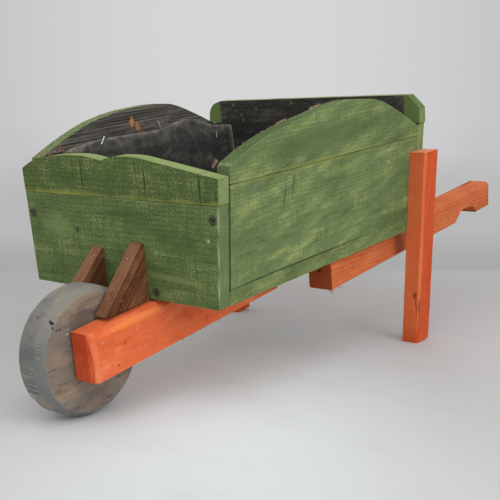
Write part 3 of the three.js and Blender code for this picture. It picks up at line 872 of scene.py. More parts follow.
@dataclass(frozen=True)
class WeatheredDisc:
    """The wheel: one thick piece of softwood sawn round, stained grey and left to weather.

    The eye gets grey-brown grain along one way of the disc, ring arcs where the rim cuts across the grain,
    a cooler rim, pale rubbed patches and scuffs on the tread.
    """

    name: str = "weathered_grey_pine"
    face: str = "7d7268"
    brown: str = "94806b"
    dark: str = "484645"
    bevel: str = "7a7b79"
    bevel_dark: str = "4c4f51"
    rim: str = "7b7a76"
    rim_dark: str = "565a5c"
    warm: str = "8e8678"
    pale: str = "aaa396"
    spots: tuple[Spot, ...] = ()

    def build(self) -> bpy.types.Material:
        """Makes the material."""
        material, tree = started(self.name)
        names = ("timber", "board", "rim")
        timber, board, wheel = (
            add(tree, "Attribute", attribute_name=name).node.outputs["Vector"] for name in names
        )
        cross, tread, _ = add(tree, "SeparateXYZ", (wheel,)).node.outputs
        ahead, up, _ = add(tree, "SeparateXYZ", (board,)).node.outputs
        flat = add(tree, "VectorMath", (timber, (0.05, 1.0, 1.0)), operation="MULTIPLY")
        radius = add(tree, "VectorMath", (flat,), operation="LENGTH")
        warp = streaks(tree, timber, (150.0, 26.0, 26.0), 1.0)
        bent = add(tree, "Math", (warp, 7.0, radius), operation="MULTIPLY_ADD")
        years = add(tree, "Math", (bent, 1.9), operation="DIVIDE")
        phase = add(tree, "Math", (years,), operation="FRACT")
        late = add(tree, "Math", (phase, 1.4), operation="POWER")
        fibre = streaks(tree, timber, (46.0, 1.6, 1.6), 3.0)
        clouds = streaks(tree, timber, (34.0, 14.0, 14.0), 3.0)
        broad = streaks(tree, timber, (60.0, 26.0, 40.0), 2.0)
        grit = streaks(tree, board, (2.0, 2.0, 2.0), 3.0)
        scuff = streaks(tree, board, (30.0, 2.3, 30.0), 2.0)
        fine = weighed(tree, [(fibre, 1.9), (clouds, 1.6), (grit, 0.8)], 0.48)
        striped = weighed(tree, [(late, -0.75), (clouds, 0.8), (grit, 0.5)], 0.5)
        mottled = weighed(tree, [(clouds, 1.8), (grit, 1.0), (fibre, 0.5), (late, -0.15)], 0.5)
        face = laid_over(
            tree,
            self.face,
            [
                (add(tree, "MapRange", (broad, 0.4, 0.64, 0.0, 0.85), **SOFTLY), self.brown),
                (add(tree, "MapRange", (fine, 0.46, -0.15, 0.0, 0.9), **SOFTLY), self.dark),
                (add(tree, "MapRange", (fine, 0.6, 1.2, 0.0, 0.5), **SOFTLY), self.pale),
            ],
        )
        planed = laid_over(
            tree,
            self.bevel,
            [
                (add(tree, "MapRange", (striped, 0.55, 0.0, 0.0, 0.85), **SOFTLY), self.bevel_dark),
                (add(tree, "MapRange", (up, 22.0, 64.0, 0.0, 0.6), **SOFTLY), self.warm),
            ],
        )
        high = add(tree, "MapRange", (up, 20.0, 70.0), **SOFTLY)
        patches = add(tree, "MapRange", (broad, 0.4, 0.6, 0.0, 0.8), **SOFTLY)
        rim = laid_over(
            tree,
            self.rim,
            [
                (add(tree, "MapRange", (mottled, 0.5, 0.0, 0.0, 0.95), **SOFTLY), self.rim_dark),
                (add(tree, "Math", (high, patches), operation="MULTIPLY"), self.warm),
                (add(tree, "MapRange", (mottled, 0.62, 1.1, 0.0, 0.5), **SOFTLY), self.warm),
            ],
        )
        below = add(tree, "MapRange", (up, -4.0, -22.0), **SOFTLY)
        forward = add(tree, "MapRange", (ahead, -15.0, -35.0), **SOFTLY)
        low = add(tree, "Math", (below, forward), operation="MULTIPLY")
        scratched = add(tree, "Math", (low, 0.17, scuff), operation="MULTIPLY_ADD")
        worn = add(tree, "MapRange", (scratched, 0.62, 0.74, 0.0, 0.85), **SOFTLY)
        worn = add(tree, "Math", (tread, worn), operation="MULTIPLY")
        layers = [(cross, planed), (tread, rim), (worn, self.pale)]
        layers += [(spot.mask(tree, board), spot.colour) for spot in self.spots]
        colour = laid_over(tree, face, layers)
        height = weighed(tree, [(late, -0.4), (fibre, 1.0), (grit, 0.9)], 0.0)
        finished(tree, colour, 0.8, {"Height": height, "Distance": 0.4 * METRES, "Strength": 0.9})
        return material


@dataclass(frozen=True)
class LinerCloth:
    """Black woven ground-cover cloth, gone grey with dust in patches and along its upper edge.

    Its weave is 1.2 mm; it is drawn at 2.4 mm, because a finer one wouldn't show.
    """

    name: str = "woven_ground_cloth"
    black: str = "3a3a38"
    grey: str = "696660"
    dust: str = "928c80"
    thread: float = 2.4

    def build(self) -> bpy.types.Material:
        """Makes the material from the cloth's own flat coordinates."""
        material, tree = started(self.name)
        names = ("cloth", "hem")
        cloth, hem = (
            add(tree, "Attribute", attribute_name=name).node.outputs["Vector"] for name in names
        )
        threads = []
        for way in add(tree, "SeparateXYZ", (cloth,)).node.outputs[:2]:
            turned = add(tree, "Math", (way, math.tau / self.thread), operation="MULTIPLY")
            threads.append(add(tree, "Math", (turned,), operation="SINE"))
        weave = add(tree, "Math", threads, operation="MULTIPLY")
        clouds = streaks(tree, cloth, (55.0, 26.0, 30.0), 4.0)
        smudge = streaks(tree, cloth, (14.0, 9.0, 12.0), 3.0)
        dusty = weighed(tree, [(clouds, 1.15), (smudge, 0.75)], 0.48)
        dusty = add(tree, "Math", (hem, 0.4, dusty), operation="MULTIPLY_ADD")
        layers = [
            (add(tree, "MapRange", (dusty, 0.42, 0.85, 0.0, 0.8), **SOFTLY), self.grey),
            (add(tree, "MapRange", (dusty, 0.7, 1.1, 0.0, 0.75), **SOFTLY), self.dust),
            (add(tree, "MapRange", (weave, 0.2, -1.0, 0.0, 0.3), **SOFTLY), "1d1d1c"),
        ]
        colour = laid_over(tree, self.black, layers)
        height = weighed(tree, [(weave, 0.35), (smudge, 0.9)], 0.0)
        finished(tree, colour, 0.88, {"Height": height, "Distance": 0.5 * METRES, "Strength": 0.7})
        return material


@dataclass(frozen=True)
class SmallMetal:
    """Steel of screws, brads, staples and the axle: phosphated black, or zinc-plated and dulled by handling.

    The eye gets a soft metal gleam broken by tiny pits and a little rust.

    Attributes:
        name: The finish's name.
        plain: Its own colour.
        stained: Colour of its dull patches.
        rough: Its roughness.
        metallic: 1 for bare plating, less where paint or dirt lies on it.
    """

    name: str
    plain: str
    stained: str
    rough: float
    metallic: float

    def build(self) -> bpy.types.Material:
        """Makes the material."""
        material, tree = started(self.name)
        grown = in_millimetres(tree)
        pits = streaks(tree, grown, (0.8, 0.8, 0.8), 3.0)
        patches = streaks(tree, grown, (3.0, 3.0, 3.0), 2.0)
        dull = add(tree, "MapRange", (patches, 0.42, 0.7, 0.0, 0.8), **SOFTLY)
        colour = laid_over(tree, self.plain, [(dull, self.stained)])
        roughness = add(tree, "Math", (pits, 0.3, self.rough - 0.15), operation="MULTIPLY_ADD")
        bump = {"Height": pits, "Distance": 0.08 * METRES, "Strength": 0.8}
        finished(tree, colour, roughness, bump, self.metallic)
        return material


@dataclass(frozen=True)
class TornWood:
    """Bare splinters and cloth ends: dry fibre with its colour changing along each strand."""

    name: str
    pale: str
    dark: str

    def build(self) -> bpy.types.Material:
        """Makes the material."""
        material, tree = started(self.name)
        grown = in_millimetres(tree)
        tufts = streaks(tree, grown, (2.2, 2.2, 2.2), 3.0)
        dark = add(tree, "MapRange", (tufts, 0.4, 0.65, 0.0, 0.9), **SOFTLY)
        colour = laid_over(tree, self.pale, [(dark, self.dark)])
        finished(tree, colour, 0.85, {"Height": tufts, "Distance": 0.1 * METRES, "Strength": 0.6})
        return material


# ---- how each piece's grain lies ----
def lies_across(outer: float, inward: int) -> Callable[[np.ndarray], np.ndarray]:
    """Grain from side to side, in a board whose outer face is at one length of the tray.

    Args:
        outer: The y of its outer face.
        inward: 1 where the tray is behind that face, -1 where it is in front.

    Returns:
        Gives places along the grain, across it, and in from the outer face.
    """
    return lambda p: np.stack([p[:, 0], p[:, 2], (p[:, 1] - outer) * inward], axis=1)


def lies_lengthwise(side: Side) -> Callable[[np.ndarray], np.ndarray]:
    """Grain from wheel to grips, in a board or beam on one side; depth is in from the leaning face."""
    return lambda p: np.stack([p[:, 1], p[:, 2], half_width(p[:, 1], p[:, 2]) - side.value * p[:, 0]], axis=1)


def lies_level(points: np.ndarray) -> np.ndarray:
    """Grain from wheel to grips in the level board; depth is up from its underside."""
    return points[:, [1, 0, 2]]


def lies_upright(side: Side) -> Callable[[np.ndarray], np.ndarray]:
    """Grain from foot to top, in a leg against one side; depth is in from its outer face."""
    thick = 26.0

    def lie(points: np.ndarray) -> np.ndarray:
        """The places in the leg's own frame."""
        across, along, up = points.T
        return np.stack([up, along, half_width(along, up) + thick - side.value * across], axis=1)

    return lie


def lies_sloping(slope: float, side: Side) -> Callable[[np.ndarray], np.ndarray]:
    """Grain along a brace's slope, in radians from level."""
    c, s = math.cos(slope), math.sin(slope)
    return lambda p: np.stack(
        [p[:, 1] * c + p[:, 2] * s, p[:, 2] * c - p[:, 1] * s, -side.value * p[:, 0]], axis=1
    )


# ---- small parts made along a line ----
def swept(path: Sequence[Vector], reach: Sequence[float], sides: int, thin: float = 1.0) -> tuple[list, list]:
    """A tube along a path.

    Args:
        path: Its middle line.
        reach: Its radius at each point.
        sides: Number of sides.
        thin: Its second width as a share of the first.

    Returns:
        Corners and faces.
    """
    points, faces = [], []
    for i, place in enumerate(path):
        ahead = (path[min(i + 1, len(path) - 1)] - path[max(i - 1, 0)]).normalized()
        first = ahead.cross(Vector((0.3, 0.2, 1))).normalized()
        second = ahead.cross(first) * thin
        for k in range(sides):
            angle = math.tau * (k + 0.5) / sides
            points.append(place + (first * math.cos(angle) + second * math.sin(angle)) * reach[i])
    for i in range(len(path) - 1):
        faces += between_rings(i * sides, (i + 1) * sides, sides)
    faces += [tuple(range(sides)), tuple(range((len(path) - 1) * sides, len(path) * sides))]
    return points, faces


def gathered(name: str, parts: Iterable[tuple[list, list]], tray: TrayFrame) -> bpy.types.Mesh:
    """Joins many small parts into one mesh in the row's frame.

    Args:
        name: The mesh's name.
        parts: Corners in tray millimetres and faces of each.
        tray: The tray's frame.

    Returns:
        The mesh.
    """
    points, faces = [], []
    for corners_of, faces_of in parts:
        faces += [[len(points) + i for i in face] for face in faces_of]
        points += corners_of
    return mesh_of(name, tray.to_row(np.array([tuple(p) for p in points])), faces)


def carried(made: bpy.types.Object) -> bpy.types.Object:
    """Lets a small piece ride with the barrow, and logs its corner count."""
    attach(made, "barrow")
    LOG.info("%s: %d corners", made.name, len(made.data.vertices))
    return made


@dataclass(frozen=True)
class Fray:
    """Torn fibres left standing along a sawn edge.

    Attributes:
        path: The line that they stand on.
        count: How many.
        length: Shortest and longest, in mm.
        lean: The way they point on the whole.
        loose: How far each strays from that way.
        width: At the root, in mm.
    """

    path: tuple[Place, ...]
    count: int
    length: Spread
    lean: Place
    loose: float = 0.7
    width: float = 0.35

    def fibres(self) -> list[tuple[list, list]]:
        """Corners and faces of each fibre."""
        chance = random.Random(str(self.path))
        parts = []
        for _ in range(self.count):
            along = chance.random() * (len(self.path) - 1)
            i = min(int(along), len(self.path) - 2)
            root = Vector(self.path[i]).lerp(Vector(self.path[i + 1]), along - i)
            root += Vector((chance.gauss(0, 0.5), chance.gauss(0, 0.6), chance.gauss(0, 0.4)))
            stray = Vector((chance.uniform(-1, 1), chance.uniform(-1, 1), chance.uniform(-1, 1)))
            way = (Vector(self.lean).normalized() + stray * self.loose).normalized()
            droop = Vector((chance.uniform(-1, 1), chance.uniform(-1, 1), chance.uniform(-1, 0.3))) * 0.35
            long = chance.uniform(*self.length)
            steps = [0.0, 0.35, 0.7, 1.0]
            line = [root - way * 0.6] + [root + way * long * s + droop * long * s * s for s in steps[1:]]
            thick = self.width * chance.uniform(0.5, 1.3)
            parts.append(swept(line, [thick, thick * 0.8, thick * 0.45, thick * 0.08], 4, 0.45))
        return parts


def torn_piece(
    name: str, frays: Iterable[Fray], tray: TrayFrame, finish: bpy.types.Material
) -> None:
    """Makes the torn fibres of several edges as one piece that takes its finish from a slot."""
    fibres = [fibre for fray in frays for fibre in fray.fibres()]
    carried(shown(name, gathered(name, fibres, tray), [finish]))


@dataclass
class Screws:
    """Black countersunk screws with a crosswise recess, driven a little below the wood.

    Attributes:
        head: Radius of the head.
        shank: Radius of the shank.
        length: From the head's face to the point.
        sink: How far the head lies under the wood's face.
        recess: Span, width and depth of the cross.
    """

    finish: bpy.types.Material
    head: float = 4.5
    shank: float = 2.0
    length: float = 44.5
    sink: float = 0.45
    recess: Place = (5.4, 1.4, 2.4)
    turns: int = 32

    def pattern(self) -> bpy.types.Mesh:
        """One screw with its head's middle at the origin, pointing down."""
        h, s, tip = self.head, self.shank, self.length
        outline = [(0.4 * h, -0.22), (0.8 * h, -0.08), (0.93 * h, 0.0), (h - 0.05, -0.12), (h - 0.05, -0.5)]
        outline += [(0.72 * h, -1.5), (s + 0.25, -2.7), (s, -3.6), (s, 6 - tip), (0.35 * s, 1.5 - tip)]
        points, faces = [(0, 0, -0.25)], []
        for radius, height in outline:
            for k in range(self.turns):
                angle = math.tau * k / self.turns
                points.append((radius * math.cos(angle), radius * math.sin(angle), height))
        points.append((0, 0, -tip))
        ring = [1 + i * self.turns for i in range(len(outline))]
        for k in range(self.turns):
            j = (k + 1) % self.turns
            faces.append((0, ring[0] + k, ring[0] + j))
            faces += [(a + k, a + j, b + j, b + k) for a, b in zip(ring, ring[1:])]
            faces.append((ring[-1] + k, ring[-1] + j, len(points) - 1))
        return subtracted(mesh_of("screw", points, faces), [self.arm(False), self.arm(True)])

    def arm(self, turned: bool) -> bpy.types.Mesh:
        """One tapered arm of the cross, along x, or along y when turned."""
        span, width, depth = self.recess
        points = []
        for height, share in ((0.6, 1.0), (-depth, 0.45)):
            for x, y in ((-1, -1), (1, -1), (1, 1), (-1, 1)):
                a, b = x * span / 2 * share, y * width / 2 * share
                points.append((b, a, height) if turned else (a, b, height))
        faces = [(0, 1, 2, 3), (4, 5, 6, 7), (0, 1, 5, 4), (1, 2, 6, 5), (2, 3, 7, 6), (3, 0, 4, 7)]
        return mesh_of("recess", points, faces)

    def build(self, tray: TrayFrame, ways: dict[str, Place]) -> None:
        """Puts a screw in each node's place.

        Args:
            tray: The tray's frame.
            ways: The way each screw points, by its node's name.
        """
        pattern = self.pattern()
        shape = corners(pattern)
        for node, into in ways.items():
            chance = random.Random(node)
            places = tray.to_tray(corners(bpy.data.objects[node].data))
            way = Vector(into)
            middle = (places.min(axis=0) + places.max(axis=0)) / 2
            depth = places @ np.array(into)
            head = middle + np.array(into) * (depth.min() - middle @ np.array(into) + self.sink)
            turn = Vector((0, 0, -1)).rotation_difference(way).to_matrix()
            spin = np.array(turn) @ turned_about_z(chance.uniform(0, math.tau))
            mesh = pattern.copy()
            low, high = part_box(node)
            put = np.clip(tray.to_row(shape @ spin.T + head), low, high)
            mesh.vertices.foreach_set("co", put.ravel())
            made = shown(f"{node}_cross_head", smoothed(mesh, 38), [self.finish])
            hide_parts(node)
            carried(made)


def turned_about_z(angle: float) -> np.ndarray:
    """A turn about the upward axis, in radians."""
    c, s = math.cos(angle), math.sin(angle)
    return np.array([[c, -s, 0], [s, c, 0], [0, 0, 1]])


@dataclass
class Brads:
    """Small bright nail heads, set flush.

    Attributes:
        heads: The middle of each head on the wood, with the way the wood looks there.
        radius: Of a head.
    """

    finish: bpy.types.Material
    heads: Sequence[tuple[Place, Place]]
    radius: float = 0.85

    def build(self, tray: TrayFrame) -> bpy.types.Object:
        """Makes every head as one piece."""
        parts = []
        for place, outward in self.heads:
            out = Vector(outward).normalized()
            rise = [-1.2, 0.02, 0.16, 0.2]
            reach = [0.5, 1.0, 0.8, 0.35]
            line = [Vector(place) + out * level for level in rise]
            parts.append(swept(line, [self.radius * share for share in reach], 10))
        made = shown("brad_heads", smoothed(gathered("brads", parts, tray), 50), [self.finish])
        return carried(made)


# ---- the tray ----
@dataclass
class Tray:
    """Ten boards with open joints: floor, sides, front and rear, each in two planks where it is high.

    Attributes:
        front, crest, side, rear, floor: The outer finishes; crest is that of the front's upper plank.
        inside: The black finish, for each board that has one.
        crest_fray: Torn fibres along the sawn crests.
    """

    front: bpy.types.Material
    crest: bpy.types.Material
    side: bpy.types.Material
    rear: bpy.types.Material
    floor: bpy.types.Material
    inside: dict[str, bpy.types.Material]
    torn: bpy.types.Material
    kerf: float = 0.75
    kerf_depth: float = 1.1

    def kerfs(self) -> list[Furrow]:
        """Three upright lines in the front's crest piece, where shorter blocks meet."""
        made = []
        for x, top in ((-52.0, 174.5), (56.5, 172.5), (141.0, 158.5)):
            line = ((x, 0, top + 3), (x + 0.3, 0, top - 20), (x, 0, FRONT_JOINT))
            made.append(Furrow(line, FRONTWARD, self.kerf, self.kerf_depth))
        return made

    def glue_gaps(self) -> list[Furrow]:
        """Short open stretches of the joint under the front's crest piece."""
        made = []
        for x in (-116.0, -38.0, 70.0):
            line = ((x, 0, FRONT_JOINT + 0.2), (x + 6, 0, FRONT_JOINT), (x + 13, 0, FRONT_JOINT + 0.3))
            made.append(Furrow(line, FRONTWARD, 0.9, 1.5))
        return made

    def build(self, tray: TrayFrame) -> None:
        """Makes the boards."""
        across = lies_across(0.0, 1)
        backwards = lies_across(REAR_FACE, -1)
        low = [Hole((-71.5, 0, 77.3), FRONTWARD, 1.3, 3.0), *self.glue_gaps()]
        high = [*self.kerfs(), Hole((143.7, 0, 158.0), FRONTWARD, 1.1, 1.2)]
        plain = self.inside["walls"]
        Timber("front_board_lower", across, [self.front, plain], (30, 70), cuts=low).build(tray)
        Timber("front_board_upper", across, [self.crest, plain], (20, 130), cuts=high).build(tray)
        Timber("rear_board_lower", backwards, [self.rear, self.inside["rear_lower"]], (90, 40)).build(tray)
        Timber("rear_board_upper", backwards, [self.rear, self.inside["rear_upper"]], (140, -60)).build(tray)
        for side in Side:
            lie = lies_lengthwise(side)
            black = self.inside["walls"] if side is Side.LEFT else self.inside["far_wall"]
            lower, upper = f"{side.word}_side_board_lower", f"{side.word}_side_board_upper"
            Timber(lower, lie, [self.side, black], (20, 85)).build(tray)
            Timber(upper, lie, [self.side, black], (250, -40), wobble=0.4).build(tray)
        Timber("tray_floor", lies_level, [self.floor, plain], (310, -30)).build(tray)
        self.frays(tray)

    def frays(self, tray: TrayFrame) -> None:
        """Makes the torn fibres along the crests, and those of the cloth's cut edge at the front."""

        def crest(side: int, inward: float, marks: Sequence[Spread]) -> tuple[Place, ...]:
            """Places on a side's inner face, a little off it."""
            return tuple((side * (half_width(y, z) - BOARD - inward), y, z) for y, z in marks)

        cloth = [(18, 168), (32, 169), (46, 170), (60, 170)]
        near = [(24, 166.4), (40, 173), (60, 181), (100, 192.6)]
        tufts = [
            Fray(crest(1, 0.2, [(128, 198.6), (136, 200), (147, 201.8)]), 70, (1.0, 3.4), (0, 0.3, 0.8)),
            Fray(crest(1, 0.2, [(197, 209.6), (208, 210.9), (221, 212.3)]), 90, (1.0, 4.0), (-0.1, 0.3, 0.8)),
            Fray(crest(1, 0.2, near), 90, (0.6, 1.8), (0, 0.2, 0.7)),
            Fray(crest(1, 0.2, [(100, 192.6), (130, 199)]), 26, (0.6, 1.5), (0, 0.2, 0.7)),
            Fray(crest(1, 2.0, [(16, 164), (21, 168), (24, 170)]), 46, (1.5, 5), (-0.4, 0.2, 0.7), 1.0),
            Fray(crest(-1, 2.5, cloth), 170, (1.5, 6), (0.6, 0.1, 0.4), 1.0),
            Fray(crest(-1, 2.5, [(60, 168), (76, 166), (96, 164)]), 70, (1.2, 4), (0.6, 0.1, 0.5), 1.0),
        ]
        torn_piece("crest_fibres", tufts, tray, self.torn)


# ---- what holds the wheel, the handles and the legs ----
@dataclass
class WheelArms:
    """The two arms that hold the wheel, with a brace on each against the front board."""

    arm_finish: bpy.types.Material
    brace_finish: bpy.types.Material
    torn: bpy.types.Material
    outer: float = 60.5  # of the arms, from the middle
    front: float = -112.0
    near_slope: float = math.atan2(69.7, 69.1)
    far_slope: float = math.atan2(58.2, 66.0)

    def build(self, tray: TrayFrame) -> None:
        """Makes the arms and braces."""
        x = self.outer
        looks = (1.0, 0.0, 0.0)
        crack = Furrow(((x, 49, -23), (x, 47, -29), (x, 43.5, -31), (x, 42, -36)), looks, 1.1, 2.5)
        check = Furrow(((x, 120, -30), (x, 96, -33), (x, 70, -33.5)), looks, 0.6, 1.2)
        nail = Hole((x, -75.9, -57), looks, 1.0, 2.5)
        along = ((30, -63.2, 2.6), (83, -61.3, 3.4), (88, -61, 2.2), (128, -59.8, 2.4), (56, -62.2, 1.8))
        chips = [Hole((x, y, z), (1, 0, -1), radius, 2.2) for y, z, radius in along]
        inward = ((-1.0, 0.0, 0.0), (0.0, 1.0, 0.0))
        nose = Shaving(((x, self.front, 12), (x, self.front, -76)), (11.0, 4.5), inward)
        sides = ((Side.LEFT, self.near_slope, (-95, -10)), (Side.RIGHT, self.far_slope, (-70, -30)))
        for side, slope, pith in sides:
            cuts = [nose, crack, check, nail, *chips] if side is Side.LEFT else []
            lie = lies_lengthwise(side)
            Timber(f"{side.word}_wheel_arm", lie, [self.arm_finish], pith, 0.9, 0.06, cuts).build(tray)
            dent = Hole((33.2, -33.9, 38.8), (0, -1, 1), 0.9, 2.0)
            holes = [dent] if side is Side.LEFT else []
            lie = lies_sloping(slope, side)
            Timber(f"{side.word}_brace", lie, [self.brace_finish], (20, 40), 0.6, 0.15, holes).build(tray)
        low = tuple((x - 0.5, y, z) for y, z in ((26, -63.3), (60, -62), (90, -61), (130, -59.8)))
        ragged = Fray(low, 46, (0.8, 3.2), (0.2, 0.2, -0.8), 0.8, 0.4)
        torn_piece("arm_splinters", [ragged], tray, self.torn)


@dataclass
class Handles:
    """The two handle beams, each with a finger notch under its grip."""

    finish: bpy.types.Material
    torn: bpy.types.Material
    front: float = 233.0  # where the beams start, under the tray
    far: tuple[float, float] = (165.0, -41.6)  # outer x and bottom of the front end

    def build(self, tray: TrayFrame) -> None:
        """Makes the beams."""
        outer, bottom = self.far
        for side in Side:
            cuts = []
            if side is Side.LEFT:
                cuts = [
                    Hole((145.5, self.front, -12), FRONTWARD, 2.4, 5.0),
                    Hole((outer, 262, bottom + 0.4), (1, 0, -1), 2.2, 1.6),
                    Furrow(((163, 444, -44.2), (158, 446, -44.2), (150, 447, -44.2)), (0, 0, -1), 2.0, 1.5),
                ]
            beam = f"{side.word}_handle_beam"
            Timber(beam, lies_lengthwise(side), [self.finish], (70, 95), 1.1, 0.3, cuts).build(tray)
        corner = ((outer - 6, self.front, bottom), (outer, self.front + 3, bottom))
        stray = Fray(corner, 7, (3, 7.5), (0.3, -0.1, -1), 0.5, 0.5)
        under = ((outer, 240, bottom), (outer, 262, bottom - 0.3))
        low = Fray(under, 16, (0.8, 2.2), (0.5, 0, -0.6), 0.7, 0.4)
        torn_piece("handle_splinters", [stray, low], tray, self.torn)


@dataclass
class Legs:
    """The two legs, flat against the sides."""

    finish: bpy.types.Material

    def build(self, tray: TrayFrame) -> None:
        """Makes the legs."""
        looks = (0.5, -1.0, 0.0)
        down = ((190.8, 433.9, -106), (190.7, 434, -114), (191.5, 434.4, -126), (192.2, 434.8, -140))
        cracks = [
            Furrow(((184.5, 433.3, -98.5), (188, 433.6, -104), (190.8, 433.8, -108.5)), looks, 1.0, 2.2),
            Furrow(((194.5, 433.6, -101.5), (192.6, 433.7, -105.5), (190.8, 433.8, -109)), looks, 0.8, 1.8),
            Furrow(down, looks, 0.7, 2.0),
        ]
        for side in Side:
            cuts = cracks if side is Side.LEFT else []
            lie = lies_upright(side)
            Timber(f"{side.word}_leg", lie, [self.finish], (330, -95), 1.0, 0.28, cuts).build(tray)


# ---- the wheel ----
@dataclass
class Wheel:
    """A disc sawn by hand from one thick piece, its corners planed off, on a rod."""

    finish: bpy.types.Material
    rod: bpy.types.Material
    bore: float = 5.1
    edge_drop: float = 7.0
    edge_width: float = 11.0
    steps: int = 288
    flats: int = 31  # straight strokes that the saw took round the rim
    pith: Spread = (14.0, 18.0)

    DENTS = ((-52.7, 52.8, 3.2, 1.2), (-54.1, 47.5, 2.6, 1.0))

    def profile(self) -> list[tuple[float, float, float, float]]:
        """Radius, place along the rod, and how far each ring counts as rim and as tread."""
        half = WHEEL_THICKNESS / 2
        face = WHEEL_RADIUS - self.edge_drop
        tread = half - self.edge_width
        rings = [(radius, half, 0.0, 0.0) for radius in np.linspace(self.bore, face - 2.2, 17)]
        rings += [(face - 0.9, half - 0.1, 0.25, 0.0), (face + 0.3, half - 0.7, 0.9, 0.0)]
        for share in (0.15, 0.38, 0.62, 0.85):
            rings.append((face + self.edge_drop * share, half - self.edge_width * share, 1.0, 0.0))
        rings += [(WHEEL_RADIUS - 0.5, tread + 0.7, 1.0, 0.3), (WHEEL_RADIUS, tread - 1.0, 1.0, 1.0)]
        rings += [(WHEEL_RADIUS, along, 1.0, 1.0) for along in (tread * 0.6, tread * 0.2)]
        return rings + [(radius, -along, rim, band) for radius, along, rim, band in reversed(rings)]

    def stroke(self, angle: float) -> float:
        """How far the saw cut inside the true circle at an angle, as a share of the radius."""
        chance = random.Random("flats")
        bounds = [(k + chance.uniform(-0.3, 0.3)) / self.flats * math.tau for k in range(self.flats)]
        bounds.append(bounds[0] + math.tau)
        turned = angle if angle >= bounds[0] else angle + math.tau
        k = max(i for i in range(self.flats) if bounds[i] <= turned)
        half = (bounds[k + 1] - bounds[k]) / 2
        return 1 - math.cos(half) / math.cos(turned - bounds[k] - half)

    def build(self, tray: TrayFrame) -> None:
        """Makes the wheel, and dresses the rod."""
        points, marks, faces = [], [], []
        rings = self.profile()
        turns = [math.tau * k / self.steps for k in range(self.steps)]
        cuts = [self.stroke(angle) for angle in turns]
        for radius, along, rim, band in rings:
            for angle, cut in zip(turns, cuts):
                up, ahead = math.sin(angle), math.cos(angle)
                slow = abs(noise.noise(Vector((ahead * 2.2, up * 2.2, along * 0.02 + 4))))
                quick = abs(noise.noise(Vector((ahead * 9, up * 9, along * 0.12))))
                reach = radius - rim * (radius * cut * 0.8 + 0.9 * slow + 0.5 * quick)
                tooth = abs(noise.noise(Vector((ahead * radius / 9, up * radius / 9, along))))
                inward = (1 - rim) * 0.35 * tooth
                point = np.array([along - math.copysign(inward, along), ahead * reach, up * reach])
                if along > 0:
                    for y, z, wide, deep in self.DENTS:
                        point[0] -= deep * max(0.0, 1 - math.hypot(point[1] - y, point[2] - z) / wide)
                points.append(point)
                marks.append((rim, band, 0.0))
        last = len(rings)
        for i in range(last):
            a, b = i * self.steps, ((i + 1) % last) * self.steps
            faces += between_rings(a, b, self.steps)
        places = np.array(points)
        mesh = mesh_of("wheel_disc", tray.to_row(places + np.array(HUB)), faces)
        grain = places[:, [1, 0, 2]] - np.array([0, *self.pith])
        store(mesh, "timber", "FLOAT_VECTOR", "POINT", grain + np.array([300, 0, 0]))
        store(mesh, "board", "FLOAT_VECTOR", "POINT", places[:, [1, 2, 0]])
        store(mesh, "rim", "FLOAT_VECTOR", "POINT", np.array(marks))
        made = shown("wheel_disc", smoothed(mesh, 40), [self.finish])
        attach(made, "wheelset")
        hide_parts("wheel")
        LOG.info("%s: %d corners", made.name, len(mesh.vertices))
        for slot in bpy.data.objects["axle"].material_slots:
            slot.material = self.rod


